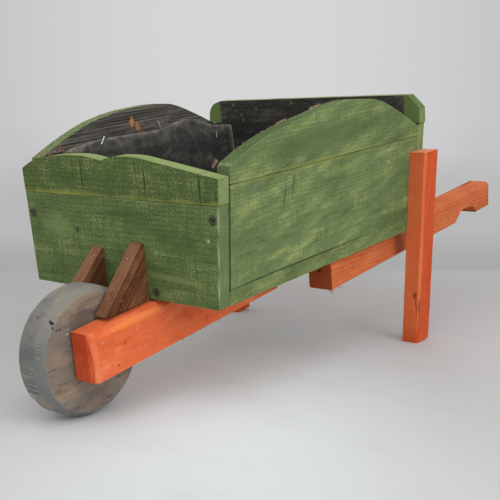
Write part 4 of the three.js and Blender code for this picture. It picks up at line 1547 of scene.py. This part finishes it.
# ---- the liner ----
@dataclass
class Liner:
    """One cloth up both walls and over the floor, stapled to the walls and turned round the rear corners.

    Attributes:
        top: Height of its upper edge at places along the tray.
        gap: Between the boards and the cloth's middle.
        thick: Of the cloth.
        bend: Radius where it turns from wall to floor.
        flap: How far it turns each rear corner.
        staples: Both ends of each staple's crown, as length and height on the wall.
    """

    finish: bpy.types.Material
    wire: bpy.types.Material
    front: float = 23.6
    rear: float = 445.2
    gap: float = 1.4
    thick: float = 0.9
    bend: float = 9.0
    flap: float = 17.5
    wall_rows: int = 30
    bend_rows: int = 5
    floor_rows: int = 52
    columns: int = 84
    flap_columns: int = 7
    top: tuple[Spread, ...] = (
        (23, 151), (50, 163), (76, 170), (115, 174), (149, 175.5), (200, 174), (248, 172.5), (277, 173),
        (306, 178), (336, 181.5), (365, 179), (385, 172), (400, 167), (413, 163), (428, 160.5), (446, 160),
        (470, 158),
    )
    staples: tuple[tuple[Spread, Spread], ...] = (
        ((144.9, 178.2), (136.3, 168.3)),
        ((270.3, 185.5), (273, 174.8)),
        ((420.2, 152.5), (418.5, 141.1)),
        ((52, 160), (60, 153)),
    )

    def height(self, along: float) -> float:
        """Height of the cloth's upper edge, cut by hand."""
        marks = np.array(self.top)
        cut = noise.noise(Vector((along / 9.0, 3.3, 0))) * 0.9
        return float(np.interp(along, marks[:, 0], marks[:, 1])) + cut

    def creases(self, along: float, down: float, floor: bool) -> float:
        """How far the cloth stands off what it lies on."""
        long = noise.noise(Vector((along / 60.0, down / 24.0, 1.7)))
        cross = noise.noise(Vector((along / 17.0, down / 70.0, 8.2)))
        small = noise.noise(Vector((along / 9.0, down / 9.0, 5.1)))
        if floor:
            return max(0.0, 0.6 + 2.6 * abs(long) + 1.6 * cross + 0.5 * small)
        slack = min(1.0, down / 30.0)
        return max(0.0, 0.15 + 4.6 * slack * max(0.0, cross) + 2.4 * slack * abs(long) + 0.5 * small)

    def section(self, along: float) -> list[tuple[float, float, float, float, bool]]:
        """Half of the cloth across the tray, from its upper edge to the middle of the floor.

        Returns:
            For each row: distance from the middle, height, the way off the boards, and whether it is floor.
        """
        low = BOARD + self.gap
        top = self.height(along)
        rows = []
        for i in range(self.wall_rows):
            z = top + (low + self.bend - top) * i / self.wall_rows
            rows.append((half_width(along, z) - BOARD - self.gap, z, math.pi, False))
        edge = half_width(along, low + self.bend) - BOARD - self.gap - self.bend
        for i in range(self.bend_rows):
            angle = math.pi / 2 * i / self.bend_rows
            x, z = edge + self.bend * math.cos(angle), low + self.bend - self.bend * math.sin(angle)
            rows.append((x, z, math.pi - angle, i > self.bend_rows / 2))
        half = self.floor_rows // 2
        rows += [(edge * (1 - i / half), low, math.pi / 2, True) for i in range(half + 1)]
        return rows

    def sheet_points(self) -> tuple[list[Place], list[Place], list[float], list[tuple[int, ...]]]:
        """Corners, their places on the flat cloth, how near each is to the upper edge, and faces."""
        stations = np.linspace(self.front, self.rear, self.columns)
        points: list[Place] = []
        flat: list[Place] = []
        hem: list[float] = []
        faces: list[tuple[int, ...]] = []
        width = 0
        for along in stations:
            half = self.section(float(along))
            down = 0.0
            downs = []
            for i, row in enumerate(half):
                if i:
                    down += math.hypot(row[0] - half[i - 1][0], row[1] - half[i - 1][1])
                downs.append(down)
            across = [(-1, row, d) for row, d in zip(half, downs)]
            across += [(1, row, 2 * down - d) for row, d in zip(half[-2::-1], downs[-2::-1])]
            width = len(across)
            for side, (x, z, way, floor), d in across:
                near = min(d, 2 * down - d)
                lift = self.creases(float(along), d + (0 if side < 0 else 90), floor) if near > 1 else 0.1
                points.append((side * (x + math.cos(way) * lift), float(along), z + math.sin(way) * lift))
                flat.append((float(along), d, 0.0))
                hem.append(math.exp(-near / 12.0))
        rows = [range(j * width, (j + 1) * width) for j in range(len(stations))]
        for first, second in zip(rows, rows[1:]):
            faces += between_rows(first, second)
        start = rows[-1].start
        for side in (-1, 1):
            edge_rows = [i if side < 0 else width - 1 - i for i in range(self.wall_rows)]
            before = [start + i for i in edge_rows]
            for k in range(1, self.flap_columns + 1):
                share = k / self.flap_columns
                reach = self.flap * share
                here = []
                for i, row in enumerate(edge_rows):
                    x, y, z = points[start + row]
                    ripple = 0.8 * noise.noise(Vector((reach / 7, z / 11, side * 3.0)))
                    sag = 1.2 * share if i == 0 else 0.0
                    off = y - 0.4 * math.sin(math.pi * share) - max(0.0, ripple)
                    here.append(len(points))
                    points.append((x - side * reach, off, z - sag))
                    flat.append((self.rear + reach, flat[start + row][1], 0.0))
                    hem.append(max(math.exp(-i * 5 / 7.0), share**3))
                faces += between_rows(before, here)
                before = here
        return points, flat, hem, faces

    def build(self, tray: TrayFrame) -> None:
        """Makes the cloth and its staples."""
        points, flat, hem, faces = self.sheet_points()
        mesh = mesh_of("liner_cloth", tray.to_row(np.array(points)), faces)
        store(mesh, "cloth", "FLOAT_VECTOR", "POINT", np.array(flat))
        store(mesh, "hem", "FLOAT", "POINT", np.array(hem))
        made = shown("liner_cloth", smoothed(mesh, 180), [self.finish])
        skin = made.modifiers.new("cloth_thickness", "SOLIDIFY")
        skin.thickness, skin.offset = self.thick * METRES, 0.0
        solid = evaluated(made)
        made.modifiers.clear()
        made.data = solid
        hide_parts("tray_liner")
        carried(made)
        self.fasten(tray)

    @staticmethod
    def flat_area(flat: Sequence[Place], faces: Sequence[tuple[int, ...]]) -> float:
        """Area of the cut cloth in square metres."""
        total = 0.0
        for face in faces:
            a, b, c, d = (flat[i] for i in face)
            total += abs((c[0] - a[0]) * (d[1] - b[1]) - (d[0] - b[0]) * (c[1] - a[1])) / 2
        return total * METRES * METRES

    def fasten(self, tray: TrayFrame) -> None:
        """Makes the staples that hold the cloth to both walls."""
        parts = []
        for side in Side:
            for first, second in self.staples:
                ends = []
                for y, z in (first, second):
                    x = side.value * (half_width(y, z) - BOARD - self.gap - self.thick - 0.9)
                    ends.append(Vector((x, y, z)))
                into = Vector((side.value * 2.5, 0, 0))
                a, b = ends
                inset = (b - a).normalized() * 0.5
                line = [a + into, a, a + inset - into * 0.1, b - inset - into * 0.1, b, b + into]
                parts.append(swept(line, [1.0] * len(line), 4, 0.6))
        carried(shown("staples", gathered("staples", parts, tray), [self.wire]))


# ---- the studio ----
@dataclass(frozen=True)
class StudioPaper:
    """Matt grey paper that rolls away into a pale backdrop; what lies far off is only seen, not lit, and
    glows in painted greys, darker at the seam and paler up the backdrop and in its middle.

    Attributes:
        ahead: The level way from the barrow to the backdrop's middle.
        aside: The level way along the backdrop.
    """

    ahead: Place
    aside: Place
    near: str = "bfbfc0"
    # Painted light: a paler, cooler strip on the floor beside and under the barrow.
    pool: str = "e8eff2"
    # Painted shade: the floor's darker grey towards the back.
    back: str = "b4b3b2"
    seam: str = "a9a9a8"
    middle: str = "b8b8b8"
    pool_aside: float = 0.108  # from the middle of the painted light's strip to the barrow's, in metres
    shaded: Spread = (-0.183, 0.447)  # where painted shade darkens the floor towards the back
    roll: float = 0.602  # how far behind the barrow the floor turns into backdrop
    risen: float = 1.397  # where the backdrop is at its middle grey
    distance: Spread = (1.097, 7.697)  # from the barrow, over which it becomes the far backdrop

    def build(self) -> bpy.types.Material:
        """Makes the material."""
        material, tree = started("studio_paper")
        place = add(tree, "TexCoord").node.outputs["Object"]
        away, side = (
            add(tree, "VectorMath", (place, axis), operation="DOT_PRODUCT")
            for axis in (self.ahead, self.aside)
        )
        side = add(tree, "Math", (side, self.pool_aside), operation="ADD")
        across = add(tree, "Math", (side,), operation="ABSOLUTE")
        scuffs = streaks(tree, in_millimetres(tree), (160.0, 60.0, 60.0), 4.0)
        reach = add(tree, "VectorMath", (place,), operation="LENGTH")
        # The strip of painted light on the floor, fading away from the barrow.
        painted_light_stripe = add(tree, "MapRange", (across, 0.36, 0.02), **SOFTLY)
        close = add(tree, "MapRange", (reach, 1.0, 0.12), **SOFTLY)
        lit = add(tree, "Math", (painted_light_stripe, close), operation="MULTIPLY")
        tints = [
            (lit, self.pool),
            (add(tree, "MapRange", (away, *self.shaded), **SOFTLY), self.back),
            (add(tree, "MapRange", (scuffs, 0.5, 0.8, 0.0, 0.2), **SOFTLY), "b0aca8"),
        ]
        paper = laid_over(tree, self.near, tints)
        matt = add(tree, "BsdfPrincipled", {"Base Color": paper, "Roughness": 0.9})
        far = far_backdrop(tree, place, self.ahead, self.aside)
        front = add(tree, "MapRange", (away, 0.5, -0.5), **SOFTLY)
        distant = add(tree, "MapRange", (reach, 1.5, 4.0), **SOFTLY)
        # The backdrop's painted greys: darker at the seam, paler as it rises and far off.
        shades = [
            (add(tree, "MapRange", (away, self.roll, self.risen), **SOFTLY), self.middle),
            (add(tree, "MapRange", (reach, *self.distance), **SOFTLY), far),
            (add(tree, "Math", (front, distant), operation="MULTIPLY"), far),
        ]
        backdrop = laid_over(tree, self.seam, shades)
        glow = add(tree, "Emission", {"Color": backdrop, "Strength": 1.0})
        rolled = add(tree, "MapRange", (away, self.roll - 0.04, self.roll + 0.02), **SOFTLY)
        gone = add(tree, "MapRange", (reach, 1.6, 3.5), **SOFTLY)
        past = add(tree, "Math", (rolled, gone), operation="MAXIMUM")
        beyond = add(tree, "Math", (looked_along(tree), past), operation="MULTIPLY")
        mixed = add(tree, "MixShader", (beyond, matt, glow))
        add(tree, "OutputMaterial", {"Surface": mixed})
        return material


def looked_along(tree: bpy.types.NodeTree) -> bpy.types.NodeSocket:
    """1 for the rays that a place is seen by, straight, mirrored or through glass, and 0 for its light."""
    rays = add(tree, "LightPath").node.outputs
    seen = add(tree, "Math", (rays["Is Camera Ray"], rays["Is Glossy Ray"]), operation="MAXIMUM")
    return add(tree, "Math", (seen, rays["Is Transmission Ray"]), operation="MAXIMUM")


def far_backdrop(
    tree: bpy.types.NodeTree, way: bpy.types.NodeSocket, ahead: Place, aside: Place
) -> bpy.types.NodeSocket:
    """The far backdrop's grey, painted paler in its middle and darker towards its sides.

    Args:
        tree: The nodes to add to.
        way: The way from the barrow to the place on the backdrop.
        ahead: The level way to the backdrop's middle.
        aside: The level way along the backdrop.

    Returns:
        The colour.
    """
    sides = [add(tree, "VectorMath", (way, axis), operation="DOT_PRODUCT") for axis in (aside, ahead)]
    off = add(tree, "Math", sides, operation="DIVIDE")
    off = add(tree, "Math", (off,), operation="ABSOLUTE")
    off = add(tree, "Math", (off, 2.0), operation="POWER")
    # Painted shade towards the backdrop's sides.
    darker = add(tree, "Math", (off, 10.0), operation="MULTIPLY")
    return laid_over(tree, "d6d6d7", [(darker, "c4c4c6")])


@dataclass
class Studio:
    """A pale floor, soft lamps and the camera.

    Attributes:
        stand: Where the camera is, in metres.
        azimuth, elevation, roll: The way it looks, in degrees.
        lens: Its focal length on a 36 mm wide sensor.
        shift: How far the frame is moved from the lens's axis.
        lamps: Place, width and power of each soft lamp.
        surround: Strength of the light from all round.
    """

    stand: Place = (0.737668, -1.076109, 0.353256)
    azimuth: float = 36.966
    elevation: float = 8.960
    roll: float = -0.133
    lens: float = 59.29
    shift: Spread = (0.00626, -0.0034)
    floor_reach: float = 60.0
    lamps: tuple[tuple[str, Place, float, float], ...] = (
        ("overhead_softbox", (0.7, -1.1, 1.9), 2.0, 15.0),
        ("side_softbox", (2.2, -0.4, 1.0), 1.4, 16.0),
    )
    surround: float = 0.8

    def axes(self) -> tuple[Vector, Vector, Vector]:
        """The camera's right, up and back."""
        a, e, r = (math.radians(angle) for angle in (self.azimuth, self.elevation, self.roll))
        back = Vector((math.sin(a) * math.cos(e), -math.cos(a) * math.cos(e), math.sin(e)))
        level = Vector((math.cos(a), math.sin(a), 0))
        rise = back.cross(level)
        return level * math.cos(r) + rise * math.sin(r), rise * math.cos(r) - level * math.sin(r), back

    def build(self) -> None:
        """Makes the camera, floor, lamps and surroundings."""
        right, up, back = self.axes()
        data = bpy.data.cameras.new("camera")
        data.lens, data.sensor_width = self.lens, 36.0
        data.shift_x, data.shift_y = self.shift
        camera = bpy.data.objects.new("camera", data)
        rows = [[*row, at] for row, at in zip(zip(right, up, back), self.stand)]
        camera.matrix_world = Matrix([*rows, [0, 0, 0, 1]])
        bpy.context.scene.collection.objects.link(camera)
        bpy.context.scene.camera = camera
        a = math.radians(self.azimuth)
        ahead = (-math.sin(a), math.cos(a), 0.0)
        aside = (math.cos(a), math.sin(a), 0.0)
        self.floor(ahead, aside)
        for name, place, width, power in self.lamps:
            self.lamp(name, Vector(place), width, power)
        self.surroundings(ahead, aside)
        bpy.context.scene.view_settings.view_transform = "Standard"

    def floor(self, ahead: Place, aside: Place) -> None:
        """Lays the paper, with the level ways to the backdrop's middle and along it."""
        turns = [math.tau * k / 96 for k in range(96)]
        rim = [(self.floor_reach * math.cos(t), self.floor_reach * math.sin(t), 0.0) for t in turns]
        paper = StudioPaper(ahead, aside).build()
        shown("floor", mesh_of("floor", rim, [tuple(range(len(rim)))]), [paper])

    @staticmethod
    def lamp(name: str, place: Vector, width: float, power: float) -> None:
        """Hangs one soft square lamp that looks at the barrow's middle."""
        data = bpy.data.lights.new(name, "AREA")
        data.energy, data.size = power, width
        lamp = bpy.data.objects.new(name, data)
        lamp.location = place
        lamp.rotation_mode = "QUATERNION"
        lamp.rotation_quaternion = (Vector((0, 0, 0.18)) - place).to_track_quat("-Z", "Y")
        bpy.context.scene.collection.objects.link(lamp)

    def surroundings(self, ahead: Place, aside: Place) -> None:
        """Gives even light from all round, behind which the camera sees the pale backdrop.

        Args:
            ahead: The level way to the backdrop's middle.
            aside: The level way along the backdrop.
        """
        world = bpy.data.worlds.new("surroundings")
        bpy.context.scene.world = world
        world.use_nodes = True
        tree = world.node_tree
        tree.nodes.clear()
        way = add(tree, "TexCoord").node.outputs["Generated"]
        # The backdrop that the camera sees, painted paler in its middle.
        grey = far_backdrop(tree, way, ahead, aside)
        seen = add(tree, "Background", {"Color": grey, "Strength": 1.0})
        light = add(tree, "Background", {"Color": linear("ffffff"), "Strength": self.surround})
        mixed = add(tree, "MixShader", (looked_along(tree), light, seen))
        add(tree, "OutputWorld", {"Surface": mixed})


# ---- the whole ----
def green(name: str, **changes: Any) -> StainedPine:
    """The tray's green stain, with what differs from board to board."""
    plain = {
        "deep": "3f5028", "mid": "586c3e", "pale": "88985f", "fleck": "90a068", "worn": "8d9d68",
        "end": "748458",
    }
    return StainedPine(name=name, **(plain | changes))


def orange(name: str, **changes: Any) -> StainedPine:
    """The red-orange stain of the beams and legs."""
    plain = {
        "deep": "a33c1c", "mid": "b9562f", "pale": "cf7748", "fleck": "d08558", "worn": "d27c50",
        "end": "a04024", "waver": 9.0, "ring": 0.6, "fibre": 0.6, "saw": 0.12, "cloud": 0.7,
        "blotch": 0.4, "speck": 0.35, "end_lift": -0.3, "edge_lift": 0.0,
    }
    return StainedPine(name=name, **(plain | changes))


CRUSHED_WOOD_AND_HOLE_SHADE = "272f1c"  # dark ring round a screw's head: wood pressed down, and painted shade of the hole the head is sunk in
KERF_MARKS = ((-52, 149), (56.5, 147), (141, 141))
RUBBED_ENDS = ((165, 104), (161.5, 62), (158, 22))
FRONT_HEADS = ((156.8, 106), (-155.9, 95), (58, 9.5), (-58, 9.5))
REAR_SPLASHES = (
    (-152, 193), (-168, 186), (-135, 176), (-132, 167), (-103, 186), (-30, 195), (-146, 182), (60, 178),
)
CREST_SPOTS = (
    *(Spot((x + 0.3, z), (1.7, 26), "2f3b22", 0.85, 0.15) for x, z in KERF_MARKS),
    Spot((0, 140), (60, 22), "46572e", 0.4),
    Spot((-90, 126), (60, 3.5), "9a9a44", 0.5, 1.0),
)
FRONT_SPOTS = (
    Spot((-71.5, 77.3), (5.5, 4.5), "3b4a26", 0.8),
    Spot((148.2, 81.9), (2.6, 3.0), "a9b684", 0.9, 0.5),
    Spot((-110, 84), (40, 20), "7d8f58", 0.5),
    Spot((0, 104), (64, 4.5), "415130", 0.55, 0.6, 2.0),
    Spot((91, 79), (40, 16), "46582f", 0.45),
    Spot((92, 30), (56, 5), "8a9a5e", 0.4, 0.9, -3.0),
    *(Spot(at, (2.2, 22), "a7b092", 0.55, 0.9, 0.0, (0, 2.5)) for at in RUBBED_ENDS),
    # Painted shade: a dark ring round each screw head for the hole it sits in, together with the pressed
    # wood.
    *(Spot(at, (7.6, 7.6), CRUSHED_WOOD_AND_HOLE_SHADE, 1.0, 0.1) for at in FRONT_HEADS),
)
SIDE_SPOTS = (
    Spot((200, 172), (215, 26), "4f623a", 0.4, 0.3, 0.5),
    Spot((360, 160), (60, 30), "4a5d38", 0.5, 0.6),
    Spot((309, 192.3), (13, 6), "5b5330", 0.6),
    Spot((367.5, 190.1), (2.4, 2.0), "3c4026", 0.85, 0.4),
    Spot((367.6, 116.1), (1.8, 2.0), "cfc98a", 0.95, 0.3),
    Spot((122, 112), (3.5, 17), "3f5230", 0.6, 0.7, -14.0),
    Spot((139, 124), (4.5, 20), "3f5230", 0.6, 0.7, -8.0),
    Spot((60, 134), (20, 9), "5a6a50", 0.5),
    Spot((240, 94), (26, 13), "485b38", 0.45),
    Spot((380, 32), (60, 15), "42552f", 0.5),
    Spot((150, 20), (165, 1.9), "2f3b22", 0.85, 0.5),
    Spot((395, 90), (50, 60), "50633a", 0.4),
    Spot((48, 148.5), (17, 7), "9aa364", 0.35, 0.9, 20.0),
    Spot((153, 153), (16, 5), "97a265", 0.3, 0.9),
    Spot((180, 90), (38, 8), "8f9d60", 0.35, 0.9, 12.0),
    Spot((48, 108), (34, 8), "8f9b5a", 0.35, 0.9, 28.0),
    Spot((182, 66), (34, 7), "8c995d", 0.3, 0.9, 20.0),
    Spot((250, 126), (60, 8), "8b9a5c", 0.4, 0.9, 5.0),
)
FAR_WALL_SPOTS = (
    Spot((212, 191), (6, 9), "c98138", 0.9),
    Spot((224, 184), (7, 8), "b87134", 0.85),
    Spot((229, 172), (9, 4), "8f5f33", 0.7),
    Spot((55, 178), (8, 4), "8a5b35", 0.7),
    Spot((324, 177), (12, 4), "a89f80", 0.7),
    Spot((262, 182), (46, 5), "77716a", 0.45, 0.9, 4.0),
)
ARM_SPOTS = (
    Spot((-62.4, -34.7), (3, 2), "9a4a22", 0.8, 0.5),
    Spot((-74.4, -38.6), (8, 5), "f2a077", 0.25, 0.8),
    # Near-black inside the nail hole: painted shade.
    Spot((-75.9, -57), (1.6, 1.6), "2a1a14", 0.95, 0.2),
    Spot((60, -30), (40, 12), "c04a26", 0.35),
    # Paler along the arm's top outer corner: painted highlight where it takes the light from above.
    Spot((-42, -11.9), (66, 6.0), "f08c4c", 0.6, 0.15, 3.3, (94, 9)),
    Spot((-106.8, -40), (3.6, 44), "ea8a62", 0.4, 0.3),
)
LEG_SPOTS = (
    Spot((-100, 433), (4, 3.5), "6b2d18", 0.5, 0.6, 0.0, (6, 4)),
    Spot((70, 434), (60, 6), "cf3f1c", 0.55, 0.4, 0.0, (-1, 4)),
    Spot((-60, 434), (80, 5), "dc7f55", 0.45, 0.4, 0.0, (1, 3)),
    *(Spot((z, 430 - 0.034 * z), (95, 4.2), "ea7f4c", 0.5, 0.3) for z in (75, -20, -115)),
    Spot((-104, 434), (5, 3.5), "5a2a18", 0.75, 0.8, 0.0, (8, 4)),
    Spot((-124, 434.3), (16, 4), "5f3020", 0.7, 0.3, 0.0, (0.5, 2.2)),
)
HANDLE_SPOTS = (
    # Near-black in the hole at the beam's front end: painted shade.
    Spot((233, -15.5), (6, 3.0), "1a100d", 0.95, 0.2, 0.0, (23, 3.4)),
    Spot((262, -42.5), (6, 2.4), "edbb95", 0.9, 0.5),
)
WHEEL_SPOTS = (
    # Near-black spots round the rim's dents: painted shade in their hollows.
    Spot((-52.9, 52.8), (2.4, 3.6), "1f1e1c", 0.95, 0.5, 0.0, (20, 9)),
    Spot((-54.3, 47.0), (1.8, 2.6), "2a2826", 0.9, 0.5, 0.0, (20, 9)),
    Spot((-50.2, 43.2), (1.7, 1.7), "26211e", 0.9, 0.3, 0.0, (20, 9)),
    Spot((-44.5, 41.3), (1.4, 1.4), "332d29", 0.9, 0.3, 0.0, (20, 9)),
    Spot((-35.8, 34.2), (2.6, 1.8), "cfc5b6", 0.85, 0.4, 0.0, (20, 9)),
    Spot((-55.6, 57.5), (2.2, 2.2), "6b3d26", 0.95, 0.2, 0.0, (-0.5, 2.2)),
    Spot((-14, 44), (30, 17), "4c4946", 0.55, 0.7, 8.0, (22, 9)),
    Spot((-6, -50), (34, 9), "4e4a46", 0.5, 0.8, 4.0, (22, 9)),
    Spot((-66, -20), (20, 16), "555c60", 0.5, 0.8, 0.0, (2, 14)),
    Spot((-44, -62), (24, 9), "a39d90", 0.45, 0.9, 40.0, (0, 20)),
    Spot((-62, -38), (14, 22), "97917f", 0.45, 0.9, 0.0, (0, 20)),
    Spot((-72, 22), (12, 18), "55595a", 0.45, 0.9, 0.0, (0, 20)),
)
REAR_SPOTS = tuple(Spot(at, (2.2, 2.6), "8c8350", 0.6, 0.9) for at in REAR_SPLASHES)


def dressed_tray() -> Tray:
    """The tray with its finishes."""
    walls = BlackedPine("black_wash").build()
    floor = green("green_stain_floor", mid="606f41", pale="84925a", saw=0.2, edge_lift=0.05, fibre=0.8)
    return Tray(
        front=green(
            "green_stain_front",
            spots=FRONT_SPOTS, saw=0.6, fibre=0.35, cloud=0.6, speck=1.4, edge_lift=0.2, end_lift=-0.15,
        ).build(),
        crest=green(
            "green_stain_crest",
            spots=CREST_SPOTS, mid="516236",
            glue_lines=(FRONT_JOINT,),
            glue="8f9448", glue_strength=0.45, bead=0.4, saw=0.7, cloud=0.45, fibre=0.25, speck=1.3,
            # The crest's raised edge tone is partly painted highlight on its sawn top.
            edge_lift=0.42, end_lift=0.3,
        ).build(),
        # Drawn paler than the front's green, though it is the same stain: painted light on the side boards.
        side=green(
            "green_stain_side",
            deep="4a5c34", mid="647549", pale="8f9d60", fleck="a3ad72",
            glue_lines=(SIDE_JOINT,),
            glue_strength=0.25, bead=0.45, spots=SIDE_SPOTS, stroke=0.85, stroke_turn=15.0, saw=0.55,
            fibre=0.35, cloud=0.6, edge_lift=-0.25, end_lift=-0.35,
        ).build(),
        rear=green(
            "green_stain_rear",
            glue_lines=(REAR_JOINT,),
            glue="7f8844", saw=0.6, fibre=0.35, cloud=0.8, speck=1.2,
        ).build(),
        floor=floor.build(),
        inside={
            "walls": walls,
            "far_wall": BlackedPine("black_wash_far_wall", spots=FAR_WALL_SPOTS).build(),
            "rear_upper": BlackedPine("black_wash_rear", (-180.0, 173.0), spots=REAR_SPOTS).build(),
            "rear_lower": BlackedPine("black_wash_low", black="2a2928", grey="4f4c48").build(),
        },
        torn=TornWood("torn_fibres", "c9ab98", "6b5a4e").build(),
    )


def screw_ways() -> dict[str, Place]:
    """The way each screw points, by its node's name."""
    ways: dict[str, Place] = {}
    for side in Side:
        word = side.word
        ways |= {f"front_screw_{word}_{spot}": (0.0, 1.0, 0.0) for spot in ("side", "floor")}
        ways |= {f"rear_screw_{word}_{spot}": FRONTWARD for spot in ("side_1", "side_2", "floor")}
        ways |= {f"{word}_leg_screw_{number}": (float(side.value), 0.0, 0.0) for number in (1, 2)}
        for beam in ("handle", "arm"):
            ways |= {f"{word}_{beam}_screw_{number}": (0.0, 0.0, -1.0) for number in (1, 2)}
    return ways


BRAD_HEADS: tuple[tuple[Place, Place], ...] = (
    ((60.5, -96, -22.7), (1, 0, 0)),
    ((60.5, -40.9, -24.2), (1, 0, 0)),
    ((60.5, -91.6, -54.8), (1, 0, 0)),
    ((60.5, -39.4, -50.4), (1, 0, 0)),
    ((33.8, -18.6, 55.0), (0, -1, 1)),
    ((35.2, -57.6, 15.7), (0, -1, 1)),
    ((45.5, -45.8, 10.7), (1, 0, 0)),
    ((-35.6, -13.6, 47.8), (0, -1, 1.1)),
    ((-32.3, -11.2, 50.0), (0, -1, 1.1)),
    ((-31.1, -19.1, 42.6), (0, -1, 1.1)),
)


def main() -> None:
    """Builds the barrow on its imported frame."""
    logging.basicConfig(level=logging.INFO, format="%(message)s")
    noise.seed_set(STRAY_SEED)
    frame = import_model()
    tray = TrayFrame.of_record(frame["record"])
    Studio().build()
    bright = SmallMetal("dulled_zinc_wire", "d8d7d3", "a19c96", 0.5, 0.4).build()
    dull = SmallMetal("dulled_brad_steel", "b9b5ae", "8b8178", 0.6, 0.3).build()
    black = SmallMetal("phosphated_screw_steel", "565551", "2c2b29", 0.5, 0.5).build()
    rod = SmallMetal("zinc_plated_rod", "a4a7a9", "86827c", 0.35, 0.95).build()
    dressed_tray().build(tray)
    arms = orange(
        "orange_stain_arm",
        mid="dc673c", deep="bd4422", pale="ec8f60", fleck="e98e66", worn="ef9a66", end="b84022",
        ring=0.1, fibre=0.25, cloud=0.6, blotch=0.5, speck=0.5, edge_lift=0.05, relief=0.15,
        spots=ARM_SPOTS,
    )
    brace = orange(
        "walnut_stain",
        deep="3a2014", mid="60371f", pale="865e44", fleck="a5805f", worn="8a6148", end="452a1b",
        ring=0.38, fibre=1.0, ring_gap=3.6, waver=4.0, speck=0.7, edge_lift=0.22, relief=0.4,
    )
    handle = orange(
        "orange_stain_handle",
        mid="c06236", pale="cf7446", deep="a04a22", fleck="d08860", spots=HANDLE_SPOTS, ring=0.45,
        ring_gap=5.2, end="803a24", end_lift=-0.6,
    )
    # The legs' pale end colour and raised end tone are painted highlight on their lit top ends.
    leg = orange(
        "orange_stain_leg",
        mid="c44f26", deep="a93c18", pale="cf5f33", fleck="cf7044", worn="d17248", end="efb896",
        end_lift=0.5, ring=0.3, ring_gap=3.4, waver=3.0, fibre=0.9, spots=LEG_SPOTS,
    )
    torn = TornWood("torn_orange_fibres", "bd7a4c", "7a4527").build()
    WheelArms(arms.build(), brace.build(), torn).build(tray)
    Handles(handle.build(), torn).build(tray)
    Legs(leg.build()).build(tray)
    Screws(black).build(tray, screw_ways())
    Brads(dull, BRAD_HEADS).build(tray)
    Liner(LinerCloth().build(), bright).build(tray)
    Wheel(WeatheredDisc(spots=WHEEL_SPOTS).build(), rod).build(tray)


if __name__ == "__main__":
    main()
